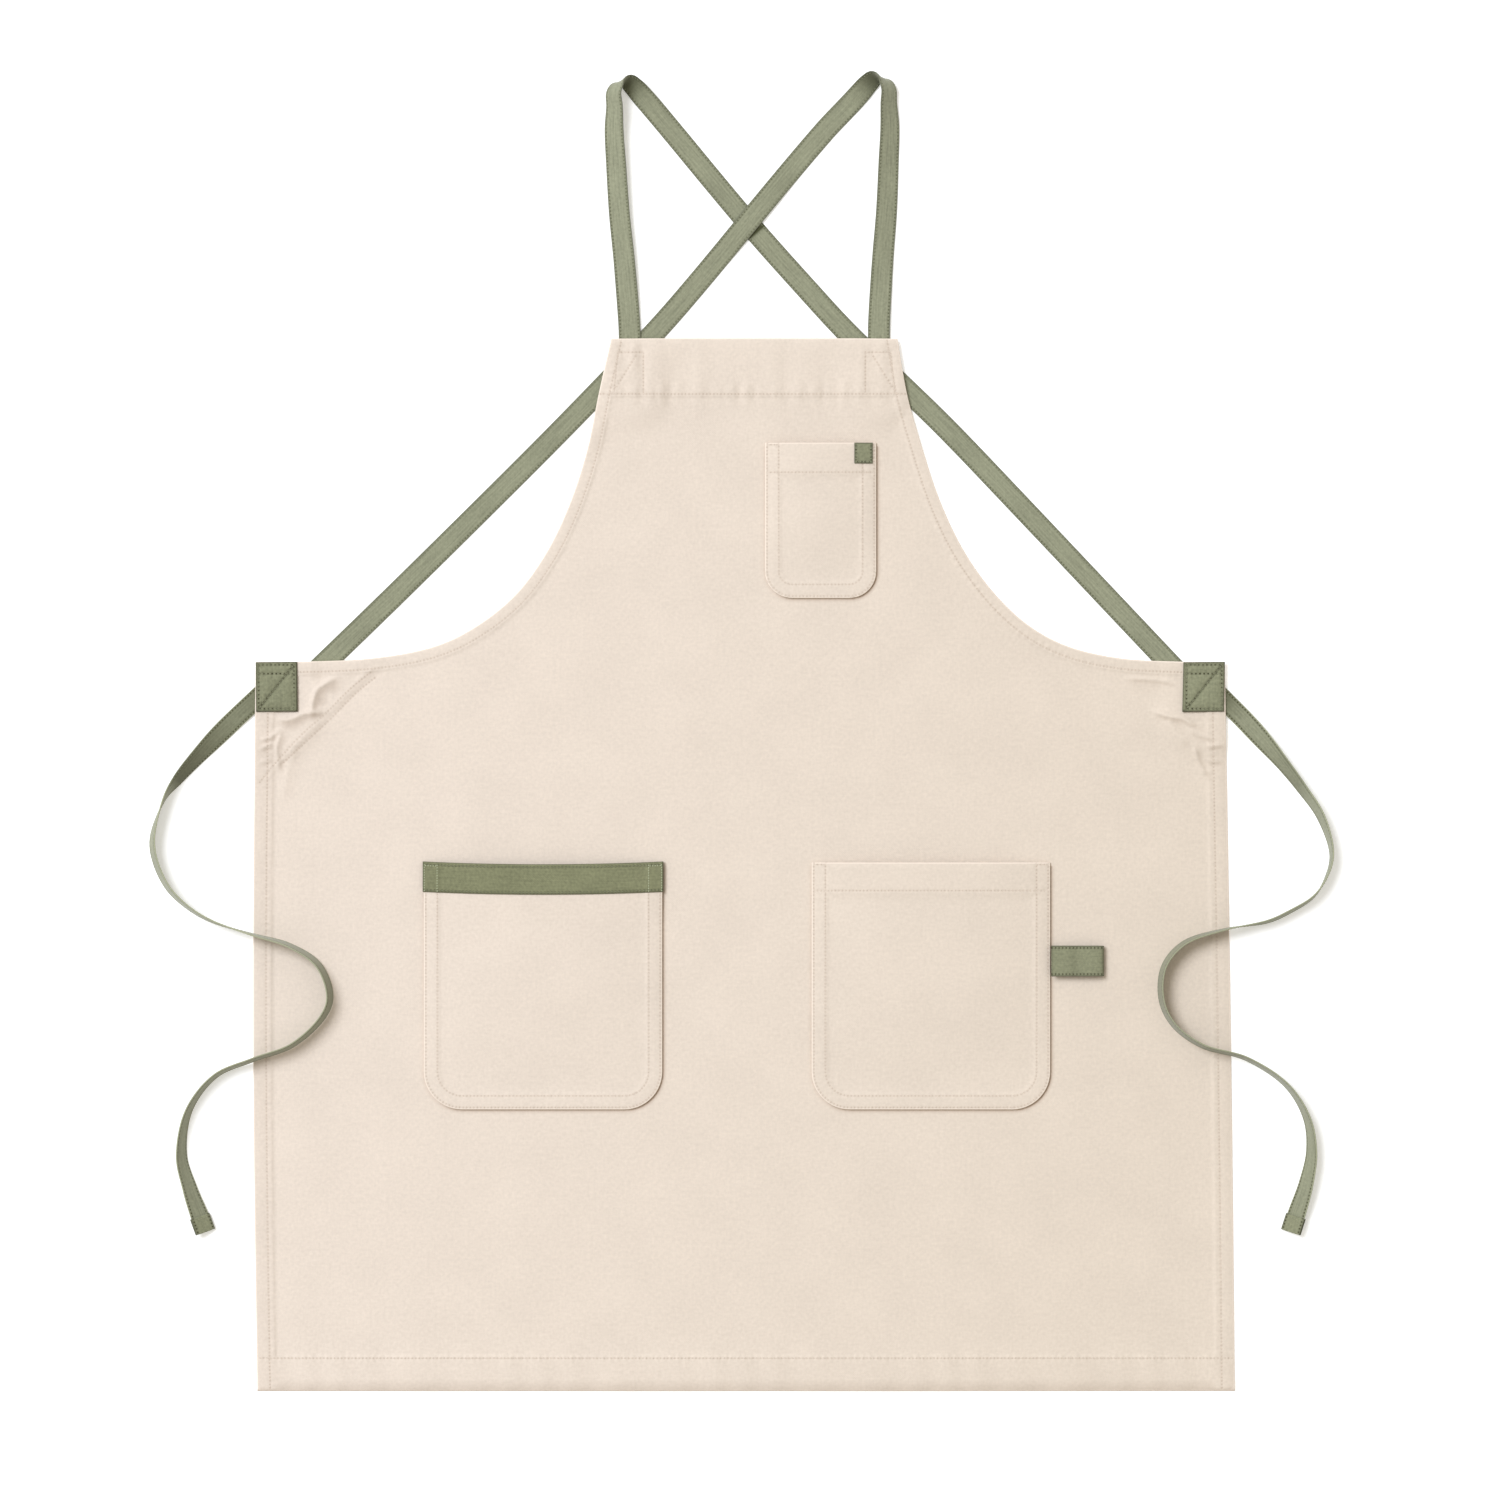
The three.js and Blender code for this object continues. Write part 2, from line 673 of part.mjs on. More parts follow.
function apronBody() {
  const low = Math.min(waistCorner(side.left), hemCorner(side.left));
  const high = Math.max(waistCorner(side.right), hemCorner(side.right));
  const xs = gridLines(low - sheetSpare, high + sheetSpare, [
    [low - sheetSpare, low + creaseZoneWide],
    [bibCorner(side.left) - fineStep, bibCorner(side.left) + cornerZone],
    [bibCorner(side.right) - cornerZone, bibCorner(side.right) + fineStep],
    [high - creaseZoneWide, high + sheetSpare],
  ]);
  const ys = gridLines(-sheetSpare, apronLength + sheetSpare, [
    [waistLine - creaseZoneHigh, waistLine + fineStep],
    [apronLength - cornerZone, apronLength + sheetSpare],
  ]);
  const above = (height) => (x, y) => bodyLift(x, y) + height;
  const depth = 4 * hemThickness + 2 * strapLayer;
  const edge = { armholeInset: 0, sideInset: 0, bottomInset: 0 };
  const outline = toManifold(prism(bodyOutline(edge), -depth, depth));
  const insideHems = toManifold(prism(bodyOutline({
    armholeInset: armholeHem,
    sideInset: sideHem,
    bottomInset: bottomHem,
  }), -depth, depth));
  const bandCut = new THREE.BoxGeometry(2 * waistWidth, 2 * bibBand, 4 * depth);
  bandCut.translate(0, apronLength, 0);
  const inside = insideHems.subtract(toManifold(bandCut));
  const sheet = toManifold(heightSheet(xs, ys, above(0), above(canvas)));
  const hems = toManifold(heightSheet(xs, ys, above(canvas / 2), above(hemThickness))).subtract(inside);
  return toGeometry(sheet.add(hems).intersect(outline));
}

// Pockets

// Half the width of a pocket with rounded lower corners at a distance below its mouth
function pocketHalf(pocket, down) {
  const { width, height, radius } = pocket;
  const into = Math.max(down - (height - radius), 0);
  return width / 2 - radius + Math.sqrt(Math.max(radius * radius - into * into, 0));
}

// Height of a pocket's underside over the body: it gapes at the mouth and is sewn down round its edge
function pocketGape(pocket, across, down) {
  const { height, radius, rise, rim } = pocket;
  const half = pocketHalf(pocket, down);
  const sideways = Math.min(Math.abs(across) / half, 1);
  const arch = 1 - Math.pow(sideways, mouthRoundness);
  const depth = 1 - smooth((down / height - gapeUntil) / gapeSlope);
  const lip = rim * (1 - smooth((down - bindingHeight) / radius));
  return seatOnBody + lip + rise * Math.max(arch, 0) * depth;
}

function pocketThickness(pocket, across, down) {
  const { height, hem } = pocket;
  const fromSide = pocketHalf(pocket, down) - Math.abs(across);
  const fromEdge = Math.min(fromSide, height - down);
  const turned = 1 - smooth((fromEdge - seamAllowance) / seamAllowance);
  const hemmed = hem > 0 && down <= hem ? 1 : 0;
  return mix(pocketCloth, turnedCloth, Math.max(turned, hemmed));
}

// Columns of a pocket as shares of its half width, closer at its turned edges
function pocketShares(pocket) {
  const edge = [-1, -1 + 2 * seamAllowance / pocket.width, -1 + 4 * seamAllowance / pocket.width];
  const inner = [];
  for (let i = 1; i < pocketColumns; i += 1) inner.push(mix(edge[2], -edge[2], i / pocketColumns));
  return [...edge, ...inner, ...edge.map((v) => -v).reverse()];
}

function pocketSheet(pocket) {
  const { middle, mouth, height, radius, hem } = pocket;
  const straight = height - radius;
  const downs = [0];
  if (hem > 0) downs.push(hem, hem + hemEdge);
  const from = downs.at(-1);
  for (let i = 1; i <= pocketRows; i += 1) downs.push(mix(from, straight, i / pocketRows));
  for (let i = 1; i <= cornerSteps; i += 1) {
    downs.push(straight + radius * Math.sin((i / cornerSteps) * Math.PI / 2));
  }
  const shares = pocketShares(pocket);
  const layer = (over) => downs.map((down) => shares.map((share) => {
    const across = share * pocketHalf(pocket, down);
    const gape = pocketGape(pocket, across, down);
    const cloth = over ? pocketThickness(pocket, across, down) : 0;
    return [middle + across, mouth - down, gape + cloth];
  })).reverse();
  return gridSheet(layer(false), layer(true));
}

// The hip pockets keep their distance from the body's sides
const hipMouth = waistLine - hipPocketDrop;
const besideHip = (s, inset) => {
  const edge = bodyEdge(s, hipMouth - hipPocketHeight / 2);
  return edge - s * (inset + hipPocketWidth / 2);
};
const hipPocket = {
  width: hipPocketWidth,
  height: hipPocketHeight,
  radius: hipPocketRadius,
  rise: hipMouthRise,
  mouth: hipMouth,
};
const hipPockets = {
  left: {
    ...hipPocket,
    hem: 0,
    rim: bindingCloth + seamGap,
    middle: besideHip(side.left, hipPocketInsetLeft),
  },
  right: {
    ...hipPocket,
    hem: pocketHem,
    rim: 0,
    middle: besideHip(side.right, hipPocketInsetRight),
  },
};
const chestPocket = {
  width: chestPocketWidth,
  height: chestPocketHeight,
  radius: chestPocketRadius,
  rise: chestMouthRise,
  hem: chestPocketHem,
  rim: 0,
  middle: chestPocketShift,
  mouth: apronLength - chestPocketDrop,
};

// Binding: a strip folded over the mouth of the left pocket, in front of it and behind it
function pocketBinding() {
  const pocket = hipPockets.left;
  const half = pocket.width / 2;
  const places = pocketShares(pocket).map((share) => share * half);
  places.unshift(-half - bindingOverhang);
  places.push(half + bindingOverhang);
  const leaf = (downs, low, high) => {
    const layer = (offset) => downs.map((down) => places.map((across) => {
      const inside = Math.max(-half, Math.min(across, half));
      const below = Math.max(down, 0);
      const height = pocketGape(pocket, inside, below) + offset(inside, below);
      return [pocket.middle + across, pocket.mouth - down, height];
    })).reverse();
    return toManifold(gridSheet(layer(low), layer(high)));
  };
  const fold = seamGap + bindingCloth;
  const downs = [-fold, 0, bindingHeight / 2, bindingHeight];
  const backLow = () => -fold;
  const backHigh = () => -seamGap;
  const frontLow = (across, down) => pocketThickness(pocket, across, down) + seamGap;
  const frontHigh = (across, down) => frontLow(across, down) + bindingCloth;
  const front = leaf(downs, frontLow, frontHigh);
  const back = leaf(downs, backLow, backHigh);
  const lip = leaf([-fold, -seamGap], backLow, frontHigh);
  return toGeometry(front.add(back).add(lip));
}

// Label on the face of the chest pocket, along its mouth
function pocketLabel() {
  const right = chestPocket.width / 2 - labelInset;
  const places = [];
  for (let i = 0; i <= labelColumns; i += 1) places.push(mix(right - labelWidth, right, i / labelColumns));
  const downs = [labelHeight, 0];
  const layer = (add) => downs.map((down) => places.map((across) => {
    const face = pocketGape(chestPocket, across, down) + turnedCloth;
    return [chestPocket.middle + across, chestPocket.mouth - down, face + seamGap + add];
  }));
  return gridSheet(layer(0), layer(labelCloth));
}

// Tool loop: a band folded on itself beside the right pocket, open from top to bottom
function toolLoop() {
  const start = hipPockets.right.middle + hipPocketWidth / 2 + seamGap;
  const inner = toolLoopOpening / 2;
  const outer = inner + webbing;
  const shape = new THREE.Shape();
  const section = (path, radius, from, to) => {
    path.moveTo(from, radius);
    path.lineTo(from, -radius);
    path.lineTo(to, -radius);
    path.absarc(to, 0, radius, -Math.PI / 2, Math.PI / 2, false);
    path.lineTo(from, radius);
  };
  const tip = toolLoopLength - outer;
  section(shape, outer, 0, tip);
  const hole = new THREE.Path();
  section(hole, inner, webbing, tip);
  shape.holes.push(hole);
  const geometry = new THREE.ExtrudeGeometry(shape, {
    depth: toolLoopHeight,
    bevelEnabled: false,
    curveSegments: foldSteps,
  });
  geometry.rotateX(Math.PI / 2);
  geometry.translate(start, hipMouth - toolLoopDrop, seatOnBody + outer);
  return geometry;
}

// Waist patches, over the hems of the two waist corners
function waistPatch(s) {
  const geometry = new THREE.BoxGeometry(patchWidth, patchHeight, patchCloth);
  const middleX = waistCorner(s) - s * patchWidth / 2;
  const seat = 2 * strapLayer + seatOnHem;
  geometry.translate(middleX, waistLine - patchHeight / 2, seat + patchCloth / 2);
  return geometry;
}

// Assembly

const apron = new THREE.Group();
function addPiece(name, geometry, colour) {
  const mesh = new THREE.Mesh(geometry, cloth(colour));
  mesh.name = name;
  apron.add(mesh);
}

addPiece('apron_body', apronBody(), 'cream');
addPiece('hip_pocket_left', pocketSheet(hipPockets.left), 'cream');
addPiece('hip_pocket_right', pocketSheet(hipPockets.right), 'cream');
addPiece('chest_pocket', pocketSheet(chestPocket), 'cream');
addPiece('pocket_binding', pocketBinding(), 'darkSage');
addPiece('pocket_label', pocketLabel(), 'darkSage');
addPiece('tool_loop', toolLoop(), 'darkSage');
for (const [name, s] of Object.entries(side)) {
  const stations = tieStations(s, tieRoutes[name]);
  addPiece(`shoulder_strap_${name}`, shoulderStrap(s), 'sage');
  addPiece(`waist_patch_${name}`, waistPatch(s), 'darkSage');
  addPiece(`waist_tie_${name}`, ribbon(stations, tieWidth, webbing), 'sage');
  addPiece(`tie_end_tab_${name}`, endTab(stations), 'darkSage');
}

// The origin is under the middle of the whole piece, on the surface that it lies on
const bounds = new THREE.Box3().setFromObject(apron);
const middle = bounds.getCenter(new THREE.Vector3());
apron.position.set(-middle.x, -middle.y, -bounds.min.z);

export default apron;
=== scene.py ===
"""A bib apron of cotton canvas lying on a pale floor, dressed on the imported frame."""

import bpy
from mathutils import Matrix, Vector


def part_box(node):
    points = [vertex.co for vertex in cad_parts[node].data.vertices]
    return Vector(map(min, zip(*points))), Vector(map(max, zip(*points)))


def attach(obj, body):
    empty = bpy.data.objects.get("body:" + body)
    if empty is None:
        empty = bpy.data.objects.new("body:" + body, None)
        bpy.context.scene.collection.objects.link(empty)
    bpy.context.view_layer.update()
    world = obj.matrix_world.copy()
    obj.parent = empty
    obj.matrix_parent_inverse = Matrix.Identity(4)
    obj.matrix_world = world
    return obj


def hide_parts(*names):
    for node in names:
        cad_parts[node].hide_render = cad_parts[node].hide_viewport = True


bl_info = {
    "name": "Kitchen apron",
    "version": (1, 0, 0),
    "blender": (4, 5, 0),
    "location": "3D View > Sidebar > Apron",
    "description": "Bib apron of cream canvas with green straps, ties, pockets and patches",
    "category": "Object",
}

import math

import bpy
import numpy as np
from bpy.props import FloatProperty, FloatVectorProperty, PointerProperty
from mathutils import Vector
from mathutils.geometry import delaunay_2d_cdt
from mathutils.kdtree import KDTree

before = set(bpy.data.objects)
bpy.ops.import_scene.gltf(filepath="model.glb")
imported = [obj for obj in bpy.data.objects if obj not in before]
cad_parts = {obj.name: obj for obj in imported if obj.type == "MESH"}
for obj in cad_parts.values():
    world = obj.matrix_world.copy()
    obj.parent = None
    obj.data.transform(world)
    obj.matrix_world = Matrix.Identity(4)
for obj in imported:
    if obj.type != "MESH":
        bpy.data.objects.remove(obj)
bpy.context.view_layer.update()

LEFT, RIGHT = -1, 1
SIDES = {"left": LEFT, "right": RIGHT}

# Cloth thicknesses and the gap between layers, in metres
CANVAS = 0.0012
HEM_THICKNESS = 0.0020
POCKET_CLOTH = 0.0010
TURNED_CLOTH = 0.0018
WEBBING = 0.0012
PATCH_CLOTH = 0.0010
SEAM_GAP = 0.0003

# Apron body
APRON_LENGTH = 0.860
BIB_HEIGHT = 0.264
BIB_TOP_WIDTH = 0.234
WAIST_WIDTH = 0.792
HEM_WIDTH = 0.799
BIB_BAND = 0.0485
BIB_BAND_STITCH = 0.0452
BOX_INSET = 0.0056
BOX_REACH = 4.7
BOX_DROP = 0.0112
BOX_LEAN = 0.0035
BIB_SAG = -0.0006
SIDE_BOW = {LEFT: 0.0028, RIGHT: 0.0008}
ARMHOLE_HEM = 0.010
SIDE_HEM = 0.0145
SIDE_ROW_INSET = 0.0106
BOTTOM_HEM = 0.0275
HEM_STITCH_INSET = 0.0014
BIB_MIDDLE = 0.0093
WAIST_MIDDLE = -0.0022
HEM_MIDDLE = 0.0025

# Shoulder straps
STRAP_WIDTH = 0.018
STRAP_RISE = {LEFT: 0.213, RIGHT: 0.216}
LOOP_SPREAD = 0.2135
LOOP_MIDDLE = 0.0068
STRAP_INSET = 0.0152
STRAP_TUCK = 0.044
STRAP_WAIST_INSET = 0.0255
STRAP_WAIST_DROP = 0.027
STRAP_STITCH_INSET = 0.0016

# Waist ties and the tabs on their ends
TIE_WIDTH = 0.016
TIE_SWING = 0.145
TIE_FALL = 0.453
TIE_TUCK = 0.027
TAB_WIDTH = 0.017
TAB_LENGTH = 0.014
TAB_CLOTH = 0.0008
TAB_ROW_INSET = 0.0016
TAB_PITCH = 0.0024

# Waist patches
PATCH_WIDTH = 0.034
PATCH_HEIGHT = 0.041
PATCH_STITCH_INSET = 0.0026
PATCH_CROSS_ROW = 0.0098
PATCH_STITCH_PITCH = 0.0034
PATCH_SKEW = {LEFT: -0.0004, RIGHT: 0.0009}
PATCH_PUFF = 0.0009
PATCH_RELIEF = 2.4

# Hip pockets
HIP_POCKET_WIDTH = 0.195
HIP_POCKET_HEIGHT = 0.202
HIP_POCKET_RADIUS = 0.031
HIP_POCKET_DROP = 0.164
HIP_POCKET_INSET = {LEFT: 0.1368, RIGHT: 0.1463}
HIP_MOUTH_RISE = 0.0055
MOUTH_SAG = 0.0022
POCKET_HEM = 0.0255
POCKET_HEM_STITCH = 0.0230
CHEST_HEM_STITCH = 0.0242
SEAM_ALLOWANCE = 0.0118
OUTER_ROW_INSET = 0.0017
INNER_ROW_INSET = 0.0112
SOFT_STEP = 0.0022

# Binding over the left pocket's mouth
BINDING_HEIGHT = 0.024
BINDING_CLOTH = 0.0008
BINDING_OVERHANG = 0.0008
BINDING_ROW = 0.0017
BARTACK_PITCH = 0.0021

# Tool loop beside the right pocket
TOOL_LOOP_LENGTH = 0.044
TOOL_LOOP_HEIGHT = 0.025
TOOL_LOOP_DROP = 0.068
TOOL_LOOP_OPENING = 0.005
TOOL_LOOP_ROW_INSET = 0.0018

# Route of the tool loop: shares of its reach, and heights in half openings
TOOL_LOOP_ROUTE = (
    (0.0, 2.0), (0.10, 2.0), (0.32, 2.0), (0.60, 2.0), (0.86, 2.0), (0.965, 1.62), (1.0, 1.0),
    (0.965, 0.38), (0.86, 0.0), (0.60, 0.0), (0.32, 0.0), (0.10, 0.0), (0.0, 0.0),
)

# Chest pocket and its label
CHEST_POCKET_WIDTH = 0.091
CHEST_POCKET_HEIGHT = 0.127
CHEST_POCKET_RADIUS = 0.022
CHEST_POCKET_DROP = 0.085
CHEST_POCKET_SHIFT = 0.0635
CHEST_MOUTH_RISE = 0.0042
LABEL_WIDTH = 0.015
LABEL_HEIGHT = 0.017
LABEL_INSET = 0.003
LABEL_CLOTH = 0.0008
LABEL_ROW_INSET = 0.0014
LABEL_PITCH = 0.0021

# Armhole curve: shares of the bib's height down from its top, and of the way out to the waist corner
ARMHOLE_DOWN = (0.00, 0.17, 0.34, 0.51, 0.66, 0.79, 0.89, 0.955, 0.99, 1.00)
ARMHOLE_OUT = {
    LEFT: (0.000, 0.035, 0.067, 0.117, 0.182, 0.268, 0.380, 0.505, 0.680, 0.880),
    RIGHT: (0.000, 0.029, 0.076, 0.133, 0.205, 0.298, 0.405, 0.530, 0.690, 0.870),
}

# Strap run from the bib to the loop: share of the rise, bow outwards as a share of the rise, lift of
# the lower edge in strap widths, tilt in degrees
STRAP_RUN = (
    (0.06, 0.000, 0.09, 0),
    (0.30, 0.011, 0.02, 13),
    (0.48, 0.023, 0.00, 18),
    (0.67, 0.029, 0.00, 24),
    (0.80, 0.032, 0.03, 31),
    (0.89, 0.027, 0.12, 42),
)
RUN_TURN = 3
TUCK_STATIONS = 3

# Loop at the top of a strap: inwards and down from the loop's corner and lift of the lower edge, in
# strap widths, then the turn and the tilt of the direction across it in degrees
STRAP_LOOP = (
    (-0.31, 0.72, 0.20, 5, 46),
    (-0.18, 0.38, 0.19, 14, 45),
    (0.00, 0.18, 0.13, 24, 42),
    (0.30, 0.15, 0.05, 32, 38),
    (0.61, 0.41, 0.02, 36, 26),
    (0.98, 0.82, 0.02, 38, 12),
    (1.59, 1.52, 0.00, 39, 0),
)

# Strap from the loop down to the waist corner: share of the way, and the sideways bow as a share of it
DIAGONAL_ALONG = (0.00, 0.05, 0.12, 0.20, 0.30, 0.38, 0.53, 0.68, 0.84, 1.00)
DIAGONAL_BOW = {
    LEFT: (0.0, -0.0026, -0.0065, -0.0100, -0.0115, -0.0110, -0.0019, 0.0010, 0.0030, 0.0050),
    RIGHT: (0.0015, 0.0, -0.0042, -0.0100, -0.0168, -0.0196, -0.0190, -0.0155, -0.0105, -0.0040),
}
DIAGONAL_STEPS = 24
CROSSING_REST = 0.85
CROSSING_SLOPE = 1.6

# Routes of the ties: share of the swing outwards from the waist edge, share of the fall below the
# waist line, and roll about the tie's length in degrees; past 90 its other face shows
TIE_ROUTE = {
    LEFT: (
        (0.000, 0.068, 0), (0.136, 0.109, 3), (0.305, 0.164, 38), (0.434, 0.211, 60),
        (0.520, 0.252, 87), (0.581, 0.322, 107), (0.561, 0.363, 108), (0.488, 0.410, 106),
        (0.372, 0.445, 101), (0.247, 0.468, 97), (0.015, 0.492, 86), (-0.194, 0.512, 79),
        (-0.358, 0.548, 75), (-0.420, 0.605, 73), (-0.381, 0.640, 75), (-0.211, 0.691, 78),
        (0.015, 0.718, 79), (0.225, 0.747, 78), (0.372, 0.807, 73), (0.417, 0.889, 60),
        (0.370, 0.950, 45), (0.315, 1.000, 24),
    ),
    RIGHT: (
        (0.000, 0.070, 0), (0.121, 0.109, 3), (0.308, 0.177, 46), (0.432, 0.228, 60),
        (0.539, 0.279, 68), (0.601, 0.348, 82), (0.568, 0.390, 88), (0.494, 0.425, 97),
        (0.370, 0.450, 100), (0.246, 0.468, 99), (-0.006, 0.483, 87), (-0.235, 0.508, 80),
        (-0.345, 0.550, 78), (-0.358, 0.610, 77), (-0.290, 0.655, 78), (-0.134, 0.692, 79),
        (0.121, 0.716, 79), (0.347, 0.764, 77), (0.460, 0.822, 71), (0.488, 0.882, 60),
        (0.458, 0.940, 45), (0.400, 1.000, 24),
    ),
}

# Creases near the waist corners: points inwards and down from the corner, the ridge and its spread
WAIST_CREASES = {
    LEFT: (
        (((0.067, 0.012), (0.052, 0.021), (0.047, 0.031), (0.045, 0.044)), 0.0022, 0.0025),
        (((0.016, 0.047), (0.028, 0.047), (0.040, 0.042), (0.056, 0.041)), 0.0023, 0.0026),
        (((0.100, 0.003), (0.088, 0.012), (0.070, 0.030), (0.056, 0.044)), 0.0007, 0.0026),
        (((0.058, 0.043), (0.044, 0.056), (0.030, 0.070), (0.008, 0.094)), 0.0005, 0.0028),
        (((0.022, 0.056), (0.017, 0.070), (0.019, 0.089)), 0.0014, 0.0020),
        (((0.003, 0.064), (0.013, 0.061), (0.021, 0.054)), 0.0014, 0.0018),
        (((0.003, 0.072), (0.014, 0.066)), 0.0012, 0.0016),
        (((0.003, 0.083), (0.012, 0.079)), 0.0008, 0.0016),
        (((0.034, 0.063), (0.026, 0.090), (0.022, 0.112)), 0.0005, 0.0030),
    ),
    RIGHT: (
        (((0.060, 0.040), (0.045, 0.0445), (0.034, 0.0465), (0.023, 0.054)), 0.0020, 0.0023),
        (((0.025, 0.068), (0.022, 0.081), (0.014, 0.094)), 0.0015, 0.0021),
        (((0.082, 0.013), (0.053, 0.0150), (0.043, 0.018)), 0.0012, 0.0018),
        (((0.015, 0.069), (0.002, 0.068)), 0.0011, 0.0015),
        (((0.016, 0.080), (0.003, 0.082)), 0.0008, 0.0015),
        (((0.030, 0.055), (0.020, 0.060), (0.012, 0.062)), 0.0011, 0.0021),
        (((0.048, 0.046), (0.040, 0.058), (0.030, 0.068)), 0.0008, 0.0033),
    ),
}

# Slanting rows below the left waist corner, points inwards and down from it
BRACE_ROWS = (
    ((0.0940, 0.0085), (0.0764, 0.0229), (0.0570, 0.0423), (0.0375, 0.0596), (0.0138, 0.0854),
     (0.0030, 0.0990)),
    ((0.0980, 0.0125), (0.0810, 0.0265), (0.0613, 0.0465), (0.0420, 0.0645), (0.0220, 0.0830)),
)

# Heights of the layers and how the cloth slopes down from them
STRAP_LAYER = WEBBING + SEAM_GAP
SEAT_ON_BODY = CANVAS + SEAM_GAP
SEAT_ON_HEM = HEM_THICKNESS + SEAM_GAP
LIFT_MARGIN = 0.009
LIFT_SLOPE = 0.020
MOUTH_ROUNDNESS = 2.6
GAPE_UNTIL = 0.45
GAPE_SLOPE = 0.5

# How far the cloth is darkened by painted shade in folds and creases, beside raised edges and where the
# straps cross; the sides and the diagonals are also darker
CREASE_SHADE = 150
SIDE_SHADE = {LEFT: 0.055, RIGHT: 0.01}
POCKET_SHADE = 0.85
LEE_DIRECTION = (0.78, -0.62)
LEE_STEP = 0.0022
FOOT_SHADE = 0.40
PATCH_EDGE_SHADE = 0.65
FOLD_SHADE = 0.70
FOLD_STATION = 3
FOLD_START = 2.2
CROSSING_SHADE = 1.60
DIAGONAL_SHADE = 0.045

# Painted shade on stretches of the ties, where they fold by the patches or turn away from the light:
# lengths along them and how dark they are there
TIE_SHADE = {
    LEFT: ((0.0, 0.027, 0.050, 0.090, 0.118, 0.135, 0.300, 0.420, 0.600),
           (0.40, 0.40, 0.31, 0.48, 0.68, 0.0, 0.0, 0.12, 0.08)),
    RIGHT: ((0.0, 0.027, 0.036, 0.050, 0.090, 0.118, 0.135, 0.200, 0.260, 0.450, 0.620),
            (0.6, 0.6, 0.3, 0.06, 0.14, 0.3, 0.02, 0.12, 0.20, 0.20, 0.12)),
}

# Sampling of the meshes; a panel's mesh has the pitch of its grid and the width of its rounded rim
BODY_MESH = (0.0065, 0.0010)
POCKET_MESH = (0.0045, 0.0008)
LABEL_MESH = (0.0016, 0.0004)
PATCH_MESH = (0.0018, 0.0005)
FINE_STEP = 0.0018
STATION_STEP = 0.0016
TRACE_STEP = 0.0008
ROW_STEP = 0.0006
TIE_SAMPLES = 520


def waist_corner(side):
    return WAIST_MIDDLE + side * WAIST_WIDTH / 2


def hem_corner(side):
    return HEM_MIDDLE + side * HEM_WIDTH / 2


def bib_corner(side):
    return BIB_MIDDLE + side * BIB_TOP_WIDTH / 2


WAIST_LINE = APRON_LENGTH - BIB_HEIGHT


def body_edge(side, y):
    share = np.clip(y / WAIST_LINE, 0, 1)
    return hem_corner(side) + (waist_corner(side) - hem_corner(side)) * share


# The apron is worked out from the middle of its hem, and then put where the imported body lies
body_low, body_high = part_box("apron_body")
PLACE = np.array((body_low.x - min(waist_corner(LEFT), hem_corner(LEFT)), body_low.y, 0.0))


def length_of(name, description, default):
    return FloatProperty(name=name, description=description, default=default, unit="LENGTH",
                         precision=5)


def colour_of(name, description, default):
    return FloatVectorProperty(name=name, description=description, default=default,
                               subtype="COLOR", min=0, max=1)


class ApronSizes(bpy.types.PropertyGroup):
    """Fine sizes of the sewing and the weave"""

    stitch_pitch: length_of("Stitch pitch", "From one stitch to the next", 0.0029)
    thread_width: length_of("Thread width", "Width of the sewing thread", 0.00050)
    groove: length_of("Seam groove", "How deep a row of stitches pulls the cloth in", 0.00024)
    pucker: length_of("Pucker", "Height of the small puckers along a seam", 0.00020)
    hem_wave: length_of("Hem wave", "Height of the waves across the bib's band and the hem", 0.00190)
    ripple: length_of("Ripple", "Height of the soft waves of the lying canvas", 0.00045)
    canvas_yarn: length_of("Canvas yarn", "Width of one yarn of the canvas", 0.00075)
    webbing_yarn: length_of("Webbing yarn", "Width of one yarn of the green twill", 0.00060)


class ApronColours(bpy.types.PropertyGroup):
    """Colours of the cloth and the thread"""

    # The canvas's colour blends from the left one to the deeper right one as a painted fall-off of light
    canvas: colour_of("Canvas", "Cream canvas on the left", (0.752, 0.658, 0.572))
    canvas_right: colour_of("Canvas on the right", "The slightly deeper cream on the right",
                            (0.692, 0.602, 0.506))
    strap: colour_of("Straps", "Green twill of the straps and ties", (0.279, 0.288, 0.197))
    trim: colour_of("Trim", "Green cloth of the patches, loop, label and tabs", (0.240, 0.247, 0.157))
    binding: colour_of("Binding", "Deeper green of the pocket's binding", (0.208, 0.214, 0.123))
    cream_thread: colour_of("Cream thread", "Thread in the canvas", (0.740, 0.640, 0.540))
    green_thread: colour_of("Green thread", "Thread in the green cloth", (0.320, 0.330, 0.220))
    bartack_thread: colour_of("Bartack thread", "Paler thread at the ends of the binding",
                              (0.520, 0.560, 0.380))
    floor: colour_of("Floor", "Pale floor", (0.960, 0.960, 0.960))


def sizes():
    return bpy.context.scene.apron_sizes


def colours():
    return bpy.context.scene.apron_colours


# Curves and small maths

def smooth(t):
    t = np.clip(t, 0, 1)
    return t * t * (3 - 2 * t)


def mix(a, b, t):
    return a + (b - a) * t


def bell(distance, width):
    """1 where there is no distance, fading to nothing past the width."""
    return np.exp(-(distance / width) ** 2)


def unit(vectors):
    return vectors / np.maximum(np.linalg.norm(vectors, axis=-1, keepdims=True), 1e-12)


